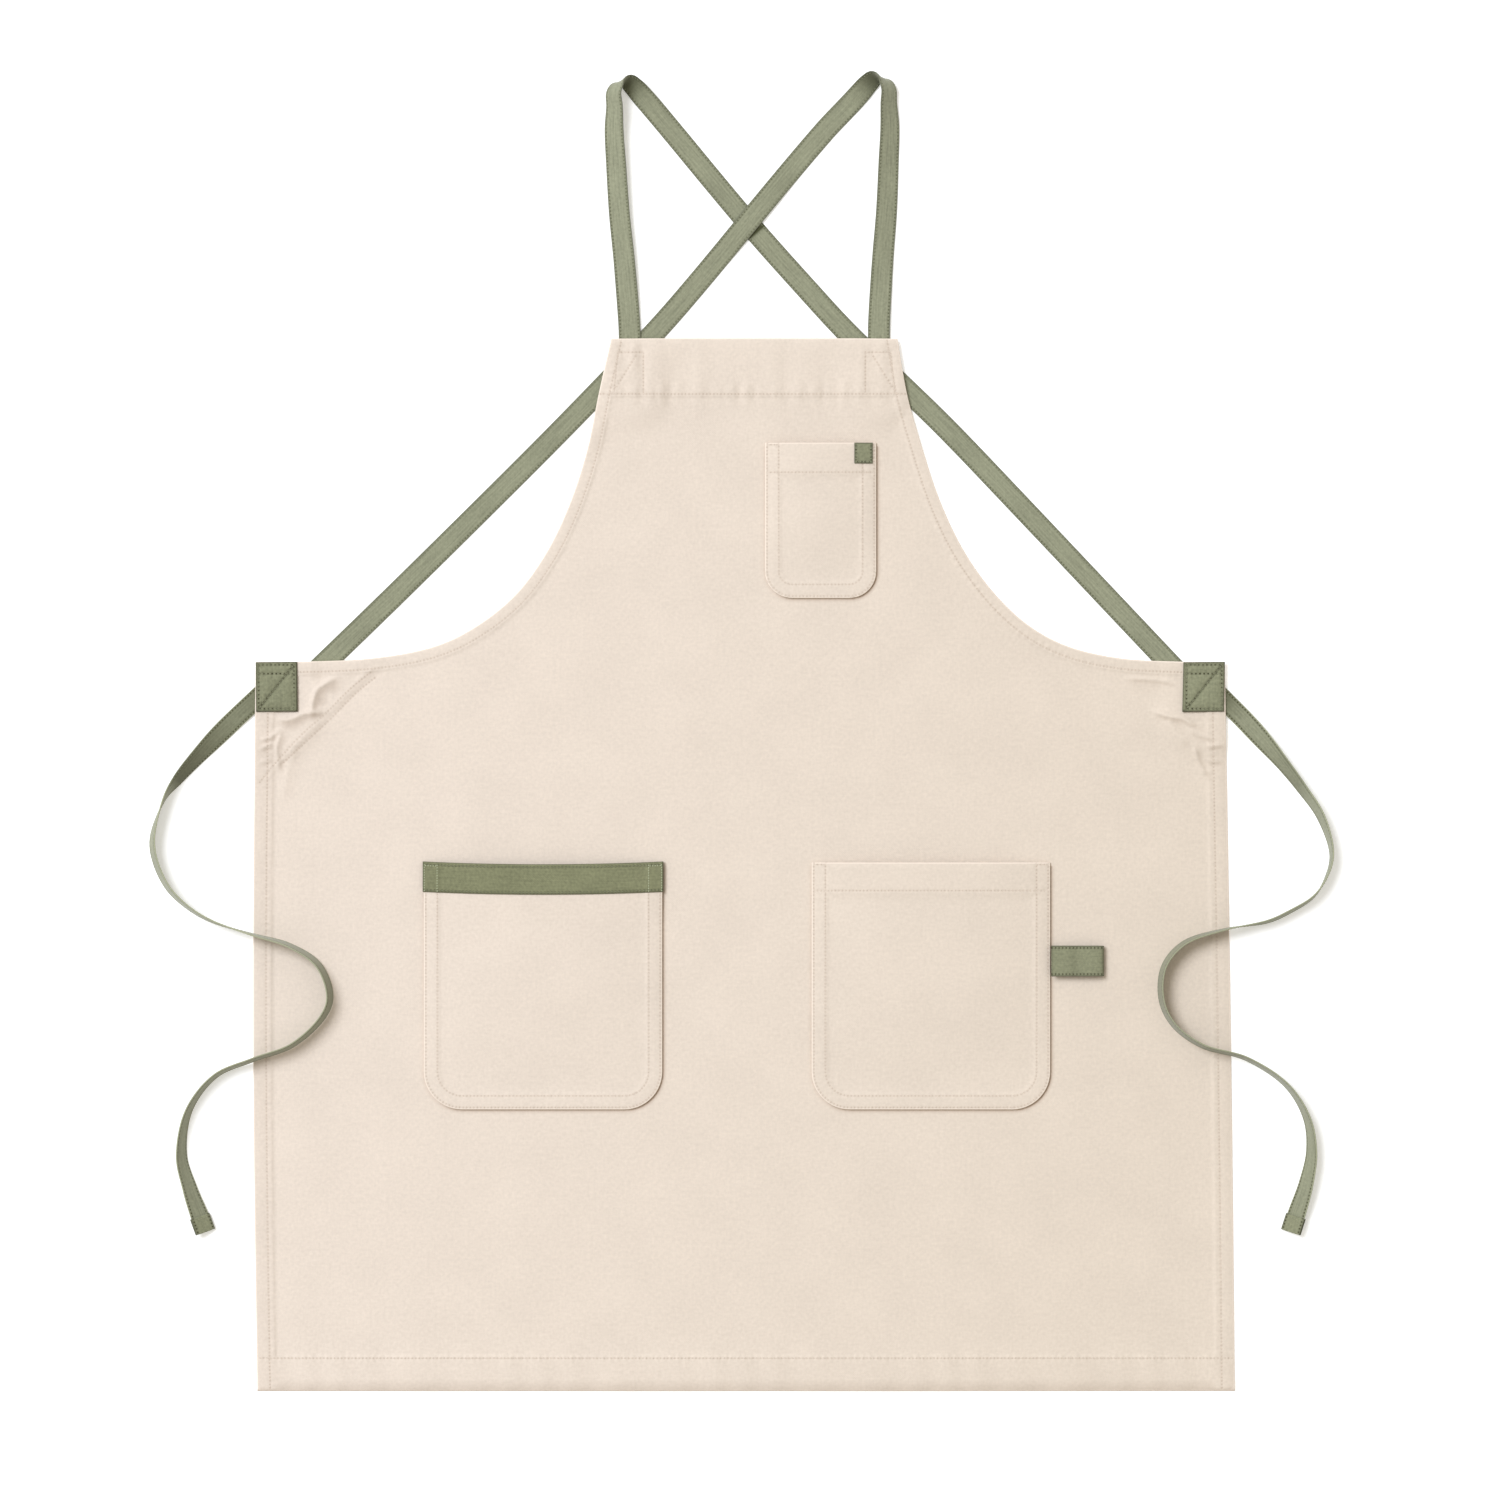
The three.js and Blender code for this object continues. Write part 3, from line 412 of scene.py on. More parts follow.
def curve(points, places, even):
    """Smooth line through points, at places counted in points; even leaves out their distances."""
    points = np.asarray(points, float)
    last = len(points) - 1
    first = np.clip(np.floor(places).astype(int), 0, last - 1)
    t = (places - first)[:, None]
    if even:
        rows = np.vstack((points[0], points, points[-1]))
    else:
        rows = np.vstack((2 * points[0] - points[1], points, 2 * points[-1] - points[-2]))
    before, a, b, after = (rows[first + k] for k in range(4))
    if even:
        leave = (b - before) / 2
        arrive = (after - a) / 2
    else:
        d0, d1, d2 = (np.sqrt(np.linalg.norm(q - p, axis=1))[:, None]
                      for p, q in ((before, a), (a, b), (b, after)))
        d1 = np.where(d1 < 1e-4, 1.0, d1)
        d0 = np.where(d0 < 1e-4, d1, d0)
        d2 = np.where(d2 < 1e-4, d1, d2)
        leave = ((a - before) / d0 - (b - before) / (d0 + d1) + (b - a) / d1) * d1
        arrive = ((b - a) / d1 - (after - a) / (d1 + d2) + (after - b) / d2) * d1
    squared = 3 * (b - a) - 2 * leave - arrive
    cubed = 2 * (a - b) + leave + arrive
    return a + leave * t + squared * t ** 2 + cubed * t ** 3


def lengths_along(points):
    steps = np.linalg.norm(np.diff(points, axis=0), axis=1)
    return np.concatenate(([0.0], np.cumsum(steps)))


def even_places(points, step):
    """Places on a smooth line that lie step apart."""
    dense = np.linspace(0, len(points) - 1, 60 * len(points))
    run = lengths_along(curve(points, dense, False))
    count = max(int(round(run[-1] / step)), 2)
    return np.interp(np.linspace(0, run[-1], count + 1), run, dense)


def resampled(points, step, closed=False):
    """Points of a line, step apart; corners of the line are kept where it is closed."""
    points = np.asarray(points, float)
    if closed:
        parts = []
        for a, b in zip(points, np.roll(points, -1, axis=0)):
            count = max(int(round(np.linalg.norm(b - a) / step)), 1)
            parts.append(mix(a, b, (np.arange(count) / count)[:, None]))
        return np.vstack(parts)
    run = lengths_along(points)
    count = max(int(round(run[-1] / step)), 1)
    places = np.linspace(0, run[-1], count + 1)
    return np.column_stack([np.interp(places, run, points[:, k]) for k in range(points.shape[1])])


def moving_mean(rows, reach):
    """Each row as the mean of its neighbours up to reach rows away on either side."""
    padded = np.pad(rows, ((reach, reach), (0, 0)), mode="edge")
    count = 2 * reach + 1
    return sum(padded[k:k + len(rows)] for k in range(count)) / count


def normals_of(points, closed):
    """Directions to the left of a line in the plane."""
    if closed:
        ahead = np.roll(points, -1, axis=0) - np.roll(points, 1, axis=0)
    else:
        ahead = np.gradient(points, axis=0)
    ahead = unit(ahead)
    return np.column_stack((-ahead[:, 1], ahead[:, 0]))


def upwards(points):
    """The way up, once for each point."""
    return np.tile((0.0, 0.0, 1.0), (len(points), 1))


def tree_of(points):
    tree = KDTree(len(points))
    for i, p in enumerate(points):
        tree.insert((p[0], p[1], 0.0), i)
    tree.balance()
    return tree


def nearest(tree, points):
    found = [tree.find((x, y, 0.0)) for x, y in points]
    return np.array([f[2] for f in found]), np.array([f[1] for f in found], int)


# Meshes

def add_piece(name, points, faces, cloth, sewing, material, shade=None):
    """Mesh object that keeps, for its material, each point's place on the cloth and its sewing:
    how far off the nearest row is, the place along that row in stitches, and how far the edge is.
    Shade is how far the cloth is darkened at a point, as painted shade in folds, creases and beside raised
    edges."""
    mesh = bpy.data.meshes.new(name)
    mesh.from_pydata((points + PLACE).tolist(), [], faces)
    mesh.polygons.foreach_set("use_smooth", np.ones(len(mesh.polygons), bool))
    mesh.attributes.new("cloth", "FLOAT_VECTOR", "POINT").data.foreach_set("vector", cloth.ravel())
    mesh.attributes.new("sewing", "FLOAT_VECTOR", "POINT").data.foreach_set("vector", sewing.ravel())
    if shade is not None:
        mesh.attributes.new("shade", "FLOAT", "POINT").data.foreach_set("value", shade)
    mesh.materials.append(material)
    piece = bpy.data.objects.new(name, mesh)
    bpy.context.scene.collection.objects.link(piece)
    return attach(piece, "root")


def in_stitches(run, pitch=None):
    """Places along a row, counted in stitches from the start of its first one."""
    pitch = pitch or sizes().stitch_pitch
    spare = run[-1] - int(run[-1] / pitch) * pitch
    return (run - spare / 2) / pitch


class Seams:
    """Rows of stitches on a panel, with the nearest place on them for any point."""

    def __init__(self, rows, pitch=None):
        self.rows = [resampled(row, ROW_STEP) for row in rows]
        self.samples = np.vstack(self.rows)
        self.along = np.concatenate([in_stitches(lengths_along(row), pitch) for row in self.rows])
        self.tree = tree_of(self.samples)

    def around(self, points):
        away, index = nearest(self.tree, points)
        return away, self.along[index]

    def relief(self, points):
        """Groove and puckers along the rows."""
        away, along = self.around(points)
        groove = bell(away, 0.0009)
        wave = np.sin(along * math.pi + 1.9 * np.sin(along * 0.23))
        puckers = wave * bell(away, 0.0034)
        return sizes().pucker * puckers - sizes().groove * groove


def panel_points(outline, seams, lines, pitch, rim):
    """Plan of a panel: rows along its rim, along its seams and other lines, and a grid inside."""
    normals = normals_of(outline, True)
    rim_tree = tree_of(outline)
    inner = []
    for inset in (0.12 * rim, 0.45 * rim, rim):
        row = outline + normals * inset
        away, _ = nearest(rim_tree, row)
        inner.append(row[away > 0.9 * inset])
    bands = []
    for line in [*seams.rows, *lines]:
        row = resampled(line, FINE_STEP)
        sideways = normals_of(row, False)
        for offset in (0, 0.0009, -0.0009, 0.0021, -0.0021, 0.0040, -0.0040):
            bands.append(row + sideways * offset)
    bands = np.vstack(bands)
    cells = np.round(bands / (0.55 * FINE_STEP)).astype(int)
    _, kept = np.unique(cells, axis=0, return_index=True)
    bands = bands[np.sort(kept)]
    away, _ = nearest(rim_tree, bands)
    bands = bands[away > rim + 0.0006]
    low, high = outline.min(axis=0), outline.max(axis=0)
    xs = np.arange(low[0] + pitch / 2, high[0], pitch)
    ys = np.arange(low[1] + pitch / 2, high[1], pitch)
    grid = np.stack(np.meshgrid(xs, ys), axis=-1).reshape(-1, 2)
    away, _ = nearest(tree_of(np.vstack((*inner, bands))), grid)
    grid = grid[away > 0.62 * pitch]
    away, _ = nearest(rim_tree, grid)
    grid = grid[away > 0.62 * pitch]
    return np.vstack((outline, *inner, bands, grid))


def add_panel(name, outline, rows, heights, material, mesh, lines=(), shading=None,
              stitch_pitch=None):
    """Closed flat piece of cloth between two heights, thinned round its rim."""
    pitch, rim = mesh
    outline = resampled(outline, FINE_STEP, closed=True)
    seams = Seams(rows, stitch_pitch)
    plan = panel_points(outline, seams, lines, pitch, rim)
    loop = list(range(len(outline)))
    cut = delaunay_2d_cdt([Vector(p) for p in plan], [], [loop], 1, 1e-7)
    flat = np.array([tuple(v) for v in cut[0]])
    triangles = np.array(cut[2], int)
    used, triangles = np.unique(triangles, return_inverse=True)
    triangles = triangles.reshape(-1, 3)
    flat = flat[used]
    away, _ = nearest(tree_of(outline), flat)
    on_rim = away < 1e-6
    under, over = heights(flat, seams)
    half = (over - under) / 2 * np.sqrt(1 - (1 - np.clip(away / rim, 0, 1)) ** 2)
    middle = (over + under) / 2
    top = np.column_stack((flat, middle + half))
    bottom = np.column_stack((flat, middle - half))
    below = np.arange(len(flat))
    below[~on_rim] = len(flat) + np.arange(np.count_nonzero(~on_rim))
    points = np.vstack((top, bottom[~on_rim]))
    faces = np.vstack((triangles, below[triangles][:, ::-1])).tolist()
    cloth = np.column_stack((points[:, :2], np.zeros(len(points))))
    sewing = np.column_stack((*seams.around(flat), away))
    sewing = np.vstack((sewing, sewing[~on_rim]))
    shade = None
    if shading:
        shade = np.clip(shading(flat, away), 0, 1)
        shade = np.concatenate((shade, shade[~on_rim]))
    piece = add_piece(name, points, faces, cloth, sewing, material, shade)
    stitched = []
    for row in seams.rows:
        _, height = heights(row, seams)
        stitched.append((np.column_stack((row, height)), upwards(row)))
    return piece, stitched


def sweep(rings):
    """Closed mesh over rings of points, with a cap on either end."""
    count, around, _ = rings.shape
    points = rings.reshape(-1, 3)
    a = (np.arange(count - 1)[:, None] * around + np.arange(around)).ravel()
    b = (np.arange(count - 1)[:, None] * around + np.roll(np.arange(around), -1)).ravel()
    faces = np.column_stack((a, b, b + around, a + around)).tolist()
    faces.append(list(range(around))[::-1])
    faces.append(list(range((count - 1) * around, count * around)))
    return points, faces


def facing_out(points, faces):
    """The same faces, turned over if the closed mesh is inside out."""
    volume = 0.0
    for face in faces:
        corner = points[face[0]]
        for k in range(1, len(face) - 1):
            volume += np.dot(corner, np.cross(points[face[k]], points[face[k + 1]]))
    return faces if volume > 0 else [face[::-1] for face in faces]


def strap_section(width, thickness, row_inset):
    """Places across a flat strap, heights of its faces there, and nearness of its stitch rows."""
    half = width / 2
    edge = thickness * 0.6
    row = half - row_inset
    near = [half, half - 0.12 * edge, half - 0.45 * edge, half - edge, row + 0.0005, row,
            row - 0.0006, row - 0.0016, 0.45 * row]
    across = np.array([-v for v in near] + [0.0] + near[::-1])
    from_edge = half - np.abs(across)
    rounding = np.sqrt(1 - (1 - np.clip(from_edge / edge, 0, 1)) ** 2)
    seam = bell(np.abs(across) - row, 0.0007)
    height = thickness / 2 * rounding - sizes().groove * 0.6 * seam
    return across, height, seam


def add_band(name, middle, across, width, thickness, row_inset, material, rests=True,
             shading=None):
    """Flat strap along its middle points; across is the direction over its width."""
    ahead = unit(np.gradient(middle, axis=0))
    face = unit(np.cross(across, ahead))
    breadth = unit(np.cross(ahead, face))
    places, heights, seam = strap_section(width, thickness, row_inset)
    run = lengths_along(middle)
    stitches = in_stitches(run)
    wave = np.sin(stitches * math.pi + 1.7 * np.sin(stitches * 0.2))
    top = np.clip(heights, 0, None)[None, :] + sizes().pucker * 0.5 * wave[:, None] * seam[None, :]
    top[:, [0, -1]] = 0.0

    def points_at(columns, side):
        return (middle[:, None, :] + breadth[:, None, :] * places[columns][None, :, None]
                + face[:, None, :] * (side * top[:, columns])[:, :, None])

    upper = np.arange(len(places))
    lower = upper[1:-1][::-1]
    rings = np.concatenate((points_at(upper, 1), points_at(lower, -1)), axis=1)
    if rests:
        rings[:, :, 2] = np.maximum(rings[:, :, 2], 0.00002)
    points, faces = sweep(rings)
    faces = facing_out(points, faces)
    ring_across = np.concatenate((places[upper], places[lower]))
    cloth = np.stack(np.broadcast_arrays(ring_across[None, :], run[:, None], 0.0), axis=-1)
    to_edge = width / 2 - np.abs(ring_across)
    to_row = np.abs(to_edge - row_inset)
    sewing = np.stack(np.broadcast_arrays(to_row[None, :], stitches[:, None], to_edge[None, :]), axis=-1)
    shade = None if shading is None else np.repeat(np.clip(shading, 0, 1), len(ring_across))
    piece = add_piece(name, points, faces, cloth.reshape(-1, 3), sewing.reshape(-1, 3), material,
                      shade)
    stitched = []
    row = width / 2 - row_inset
    depth = thickness / 2 - sizes().groove * 0.6
    for edge in (-1, 1):
        for side in (-1, 1):
            line = middle + breadth * edge * row + face * side * depth
            stitched.append((line, face * side))
    return piece, stitched, run[-1]


def add_stitches(name, rows, material, pitch=None, share=0.66, stoutness=1.0):
    """Rows of sewing thread that dip into the cloth between stitches, as one mesh."""
    pitch = pitch or sizes().stitch_pitch
    width = sizes().thread_width * stoutness
    around = 6
    turns = np.arange(around) * 2 * math.pi / around
    rings = ((-0.92, 0.45), (-0.45, 0.95), (0.45, 0.95), (0.92, 0.45))
    shape = [(-1.0, 0.0, 0.0)]
    shape += [(t, r * math.cos(a), r * math.sin(a)) for t, r in rings for a in turns]
    shape.append((1.0, 0.0, 0.0))
    shape = np.array(shape)
    last = len(shape) - 1
    faces = []
    for k in range(around):
        n = (k + 1) % around
        faces.append((0, 1 + n, 1 + k))
        for ring in range(len(rings) - 1):
            a, b = 1 + ring * around, 1 + (ring + 1) * around
            faces.append((a + k, a + n, b + n, b + k))
        end = last - around
        faces.append((last, end + k, end + n))
    points, all_faces, along = [], [], []
    for line, ups in rows:
        run = lengths_along(line)
        count = int(run[-1] / pitch)
        if count < 1:
            continue
        start = (run[-1] - count * pitch) / 2
        centres = start + (np.arange(count) + 0.5) * pitch

        def at(values, where):
            return np.column_stack([np.interp(where, run, values[:, k]) for k in range(3)])

        middle = at(line, centres)
        ahead = unit(at(line, centres + pitch / 3) - at(line, centres - pitch / 3))
        up = unit(at(ups, centres))
        side = unit(np.cross(up, ahead))
        up = np.cross(ahead, side)
        sink = 0.30 * width * (1 - 2.2 * shape[:, 0] ** 2)
        local = (shape[:, 0] * share * pitch / 2, shape[:, 1] * width / 2, shape[:, 2] * width / 2 + sink)
        made = middle[:, None, :]
        for axis, amount in zip((ahead, side, up), local):
            made = made + axis[:, None, :] * amount[None, :, None]
        first = sum(len(p) for p in points)
        points.append(made.reshape(-1, 3))
        along.append(np.column_stack((np.tile(local[1], count), np.tile(local[0], count),
                                      np.zeros(count * len(shape)))))
        for i in range(count):
            base = first + i * len(shape)
            all_faces.extend([tuple(base + v for v in face) for face in faces])
    points = np.vstack(points)
    points[:, 2] = np.maximum(points[:, 2], 0.0)
    return add_piece(name, points, all_faces, np.vstack(along), np.ones((len(points), 3)), material)


# Heights of the cloth

def strap_places(side):
    bib_x = bib_corner(side) - side * STRAP_INSET
    loop_x = LOOP_MIDDLE + side * LOOP_SPREAD / 2
    waist_x = waist_corner(-side) + side * STRAP_WAIST_INSET
    return {
        "tuck": np.array((bib_x, APRON_LENGTH - STRAP_TUCK)),
        "bib": np.array((bib_x, APRON_LENGTH)),
        "loop": np.array((loop_x, APRON_LENGTH + STRAP_RISE[side])),
        "waist": np.array((waist_x, WAIST_LINE - STRAP_WAIST_DROP)),
    }


def diagonal_points(side):
    """Points on the floor under a strap, from its loop to the waist corner on the other side."""
    places = strap_places(side)
    inward, down = STRAP_LOOP[-1][:2]
    start = places["loop"] - np.array((side * inward, down)) * STRAP_WIDTH
    way = places["waist"] - start
    sideways = np.array((way[1], -way[0])) * side
    return np.array([start + way * along + sideways * bow
                     for along, bow in zip(DIAGONAL_ALONG, DIAGONAL_BOW[side])])


def diagonal_line(side, places):
    return curve(diagonal_points(side), places * (len(DIAGONAL_ALONG) - 1), True)


def crossing_of(points):
    """Where a diagonal crosses the middle line of the bib."""
    beyond = points[:, 0] - BIB_MIDDLE
    i = int(np.argmax(beyond[1:] * beyond[:-1] <= 0))
    share = -beyond[i] / (beyond[i + 1] - beyond[i])
    return mix(points[i], points[i + 1], share)


def distance_to(points, start, end):
    way = end - start
    share = np.clip(((points - start) @ way) / (way @ way), 0, 1)
    return np.linalg.norm(points - start - share[:, None] * way, axis=1)


def under_body():
    """Lines of what lies under the body, with their half width and the height that they take."""
    lines = []
    for side in SIDES.values():
        places = strap_places(side)
        lines.append((places["tuck"], places["bib"], STRAP_WIDTH / 2, 2 * STRAP_LAYER))
        route = diagonal_line(side, np.linspace(0, 1, DIAGONAL_STEPS + 1))
        for start, end in zip(route[:-1], route[1:]):
            lines.append((start, end, STRAP_WIDTH / 2, STRAP_LAYER))
        x = waist_corner(side) - side * PATCH_WIDTH / 2
        top, foot = np.array((x, WAIST_LINE)), np.array((x, WAIST_LINE - PATCH_HEIGHT))
        lines.append((top, foot, PATCH_WIDTH / 2, 2 * STRAP_LAYER))
    return lines


def crease_lines():
    """Creases by the waist corners as lines with their ridge and spread."""
    lines = []
    for side, creases in WAIST_CREASES.items():
        corner = np.array((waist_corner(side), WAIST_LINE))
        for route, ridge, spread in creases:
            points = corner - np.array(route) * (side, 1)
            places = np.linspace(0, len(points) - 1, 10 * len(points))
            lines.append((curve(points, places, True), ridge, spread))
    return lines


UNDER_BODY = under_body()
CREASES = crease_lines()
# Soft waves of the canvas: turns per metre in both directions, and where each wave starts
RIPPLES = ((17.0, 5.0, 0.4), (-7.0, 21.0, 2.1), (29.0, -13.0, 4.4), (3.0, -37.0, 1.3),
           (-33.0, -9.0, 5.2))


def ripple(points):
    """Soft waves of the canvas, dying away towards the sides where the ties lie on it."""
    x, y = points[:, 0], points[:, 1]
    wave = sum(np.sin(kx * x + ky * y + phase) for kx, ky, phase in RIPPLES) / len(RIPPLES)
    inside = 1 - smooth((np.abs(x) - 0.24) / 0.09)
    return sizes().ripple * (0.5 + 0.5 * wave) * inside


def body_lift(points):
    lift = np.zeros(len(points))
    for start, end, half, high in UNDER_BODY:
        away = distance_to(points, start, end)
        lift = np.maximum(lift, high * (1 - smooth((away - half - LIFT_MARGIN) / LIFT_SLOPE)))
    return lift


def crease_height(points):
    height = np.zeros(len(points))
    for line, ridge, spread in CREASES:
        low, high = line.min(axis=0) - 4 * spread, line.max(axis=0) + 4 * spread
        close = np.all((points > low) & (points < high), axis=1)
        if not close.any():
            continue
        samples = resampled(line, TRACE_STEP)
        away, index = nearest(tree_of(samples), points[close])
        share = index / (len(samples) - 1)
        fading = smooth(share / 0.2) * smooth((1 - share) / 0.2) * 0.8 + 0.2
        height[close] += ridge * fading * bell(away, spread)
    return height


def armhole_line(side):
    points = np.column_stack((
        mix(bib_corner(side), waist_corner(side), np.array(ARMHOLE_OUT[side])),
        APRON_LENGTH - np.array(ARMHOLE_DOWN) * BIB_HEIGHT))
    line = curve(points, np.linspace(0, len(points) - 1, 140), True)
    return np.vstack((line, (waist_corner(side), WAIST_LINE)))


def bowed_side(side, y, inset=0.0):
    """Side edge of the body, with the slight bow that the sewing gives it."""
    bow = SIDE_BOW[side] * np.sin(math.pi * np.clip(y / WAIST_LINE, 0, 1))
    return body_edge(side, y) + side * (bow - inset)


def side_line(side, foot, top, inset):
    y = np.linspace(foot, top, 30)
    return np.column_stack((bowed_side(side, y, inset), y))


def body_outline():
    """Edge of the body, anticlockwise from the lower left corner."""
    across = np.linspace(1, -1, 24)[1:-1]
    sag = APRON_LENGTH - BIB_SAG * (1 - across ** 2)
    bib_top = np.column_stack((BIB_MIDDLE + across * BIB_TOP_WIDTH / 2, sag))
    return np.vstack((
        (hem_corner(LEFT), 0.0),
        (hem_corner(RIGHT), 0.0),
        side_line(RIGHT, 0, WAIST_LINE, 0)[1:-1],
        armhole_line(RIGHT)[::-1],
        bib_top,
        armhole_line(LEFT),
        side_line(LEFT, WAIST_LINE, 0, 0)[1:-1]))


def inside_line(line, side, inset):
    """The same line, moved into the body."""
    return line - normals_of(line, False) * side * inset


def body_rows():
    """Rows of stitches on the body."""
    rows = []
    for side in SIDES.values():
        top = WAIST_LINE - PATCH_HEIGHT - 0.001
        rows.append(side_line(side, 0.002, top, SIDE_ROW_INSET))
        arm = inside_line(armhole_line(side)[:-1], side, ARMHOLE_HEM - HEM_STITCH_INSET)
        rows.append(arm[arm[:, 1] < APRON_LENGTH - 0.001])
        inset = BOX_INSET * side
        box = (bib_corner(side) - inset, bib_corner(side) - BOX_REACH * inset)
        top, foot = APRON_LENGTH - BOX_DROP, APRON_LENGTH - BIB_BAND_STITCH
        lean = BOX_LEAN * side
        rows.append(np.array(((box[0], top), (box[1], top))))
        rows.append(np.array(((box[1], top), (box[1], foot))))
        rows.append(np.array(((box[0], top), (box[0] + lean, foot))))
        rows.append(np.array(((box[0] + lean / 2, foot + 0.005), (box[1] + inset, top - 0.002))))
    for route in BRACE_ROWS:
        corner = np.array((waist_corner(LEFT), WAIST_LINE))
        points = corner - np.array(route) * (LEFT, 1)
        rows.append(curve(points, np.linspace(0, len(points) - 1, 40), True))
    y = BOTTOM_HEM - 0.5 * HEM_STITCH_INSET
    rows.append(np.array(((hem_corner(LEFT) + 0.001, y), (hem_corner(RIGHT) - 0.001, y))))
    y = APRON_LENGTH - BIB_BAND_STITCH
    edge = [np.interp(-y, -armhole_line(s)[:, 1], armhole_line(s)[:, 0]) for s in (LEFT, RIGHT)]
    rows.append(np.array(((edge[0] + 0.001, y), (edge[1] - 0.001, y))))
    return rows


def hem_lines():
    """Inner edges of the body's hems, where the cloth steps down."""
    lines = [side_line(s, BOTTOM_HEM, WAIST_LINE - ARMHOLE_HEM, SIDE_HEM) for s in (LEFT, RIGHT)]
    lines.append(np.array(((hem_corner(LEFT), BOTTOM_HEM), (hem_corner(RIGHT), BOTTOM_HEM))))
    lines += [inside_line(armhole_line(s)[:-1], s, ARMHOLE_HEM) for s in (LEFT, RIGHT)]
    y = APRON_LENGTH - BIB_BAND
    lines.append(np.array(((bib_corner(LEFT), y), (bib_corner(RIGHT), y))))
    return lines


def hem_waves(points):
    """Shallow waves across the bib's band and the bottom hem, where the sewing draws the cloth in."""
    x, y = points[:, 0], points[:, 1]
    down = APRON_LENGTH - y
    band = smooth(down / 0.004) * (1 - smooth((down - 0.034) / 0.034))
    hem = smooth(y / 0.003) * (1 - smooth((y - 0.020) / 0.020))
    wave = 0.5 + 0.25 * np.sin(x * 271 + 2 * np.sin(x * 61)) + 0.25 * np.sin(x * 467 + 1.3 * np.sin(x * 83))
    lean = np.sin((x + 0.4 * y) * 190 + 2 * np.sin(x * 37)) * 0.5 + 0.5
    return sizes().hem_wave * (wave * band + 0.55 * lean * hem)


def hem_share(points):
    """1 on the turned hems and 0 inside them, with a soft step."""
    x, y = points[:, 0], points[:, 1]
    share = 1 - smooth((y - BOTTOM_HEM) / SOFT_STEP)
    share = np.maximum(share, smooth((y - (APRON_LENGTH - BIB_BAND)) / SOFT_STEP))
    for side in (LEFT, RIGHT):
        inside = side * (bowed_side(side, y) - x)
        share = np.maximum(share, 1 - smooth((inside - SIDE_HEM) / SOFT_STEP))
        arm, _ = nearest(tree_of(resampled(armhole_line(side), TRACE_STEP)), points)
        share = np.maximum(share, 1 - smooth((arm - ARMHOLE_HEM) / SOFT_STEP))
    return share


def body_heights(points, seams):
    turned = hem_share(points)
    under = body_lift(points) + ripple(points) + crease_height(points) + hem_waves(points)
    over = under + mix(CANVAS, HEM_THICKNESS, turned) + seams.relief(points)
    return under, over


def body_shading(points, away):
    """Painted shade in the lee of the creases, along the bottom edge and round the sewn pockets, most on
    their lee side; the cloth is also darker along the side hems.
    """
    lee = np.array((-LEE_STEP, LEE_STEP))
    shade = np.clip(crease_height(points + lee) - crease_height(points), 0, None) * CREASE_SHADE
    x, y = points[:, 0], points[:, 1]
    for side, amount in SIDE_SHADE.items():
        inside = side * (bowed_side(side, y) - x)
        shade += amount * (1 - smooth((inside - SIDE_HEM) / 0.002)) * (y < WAIST_LINE - PATCH_HEIGHT)
    shade += FOOT_SHADE * bell(y, 0.0011)
    for _, pocket, _ in pockets():
        line = resampled(pocket.line(0), ROW_STEP)
        gap, index = nearest(tree_of(line), points)
        outward = -normals_of(line, False)[index]
        lee_side = np.clip(outward @ np.array(LEE_DIRECTION), 0, 1)
        outside = np.einsum("ij,ij->i", points - line[index], outward) - 0.0005
        near = bell(outside, 0.0014) * (gap < 0.006) * (y < pocket.mouth - 0.0020)
        shade += POCKET_SHADE * (0.12 + 0.88 * lee_side) * near
    return shade


# Pockets

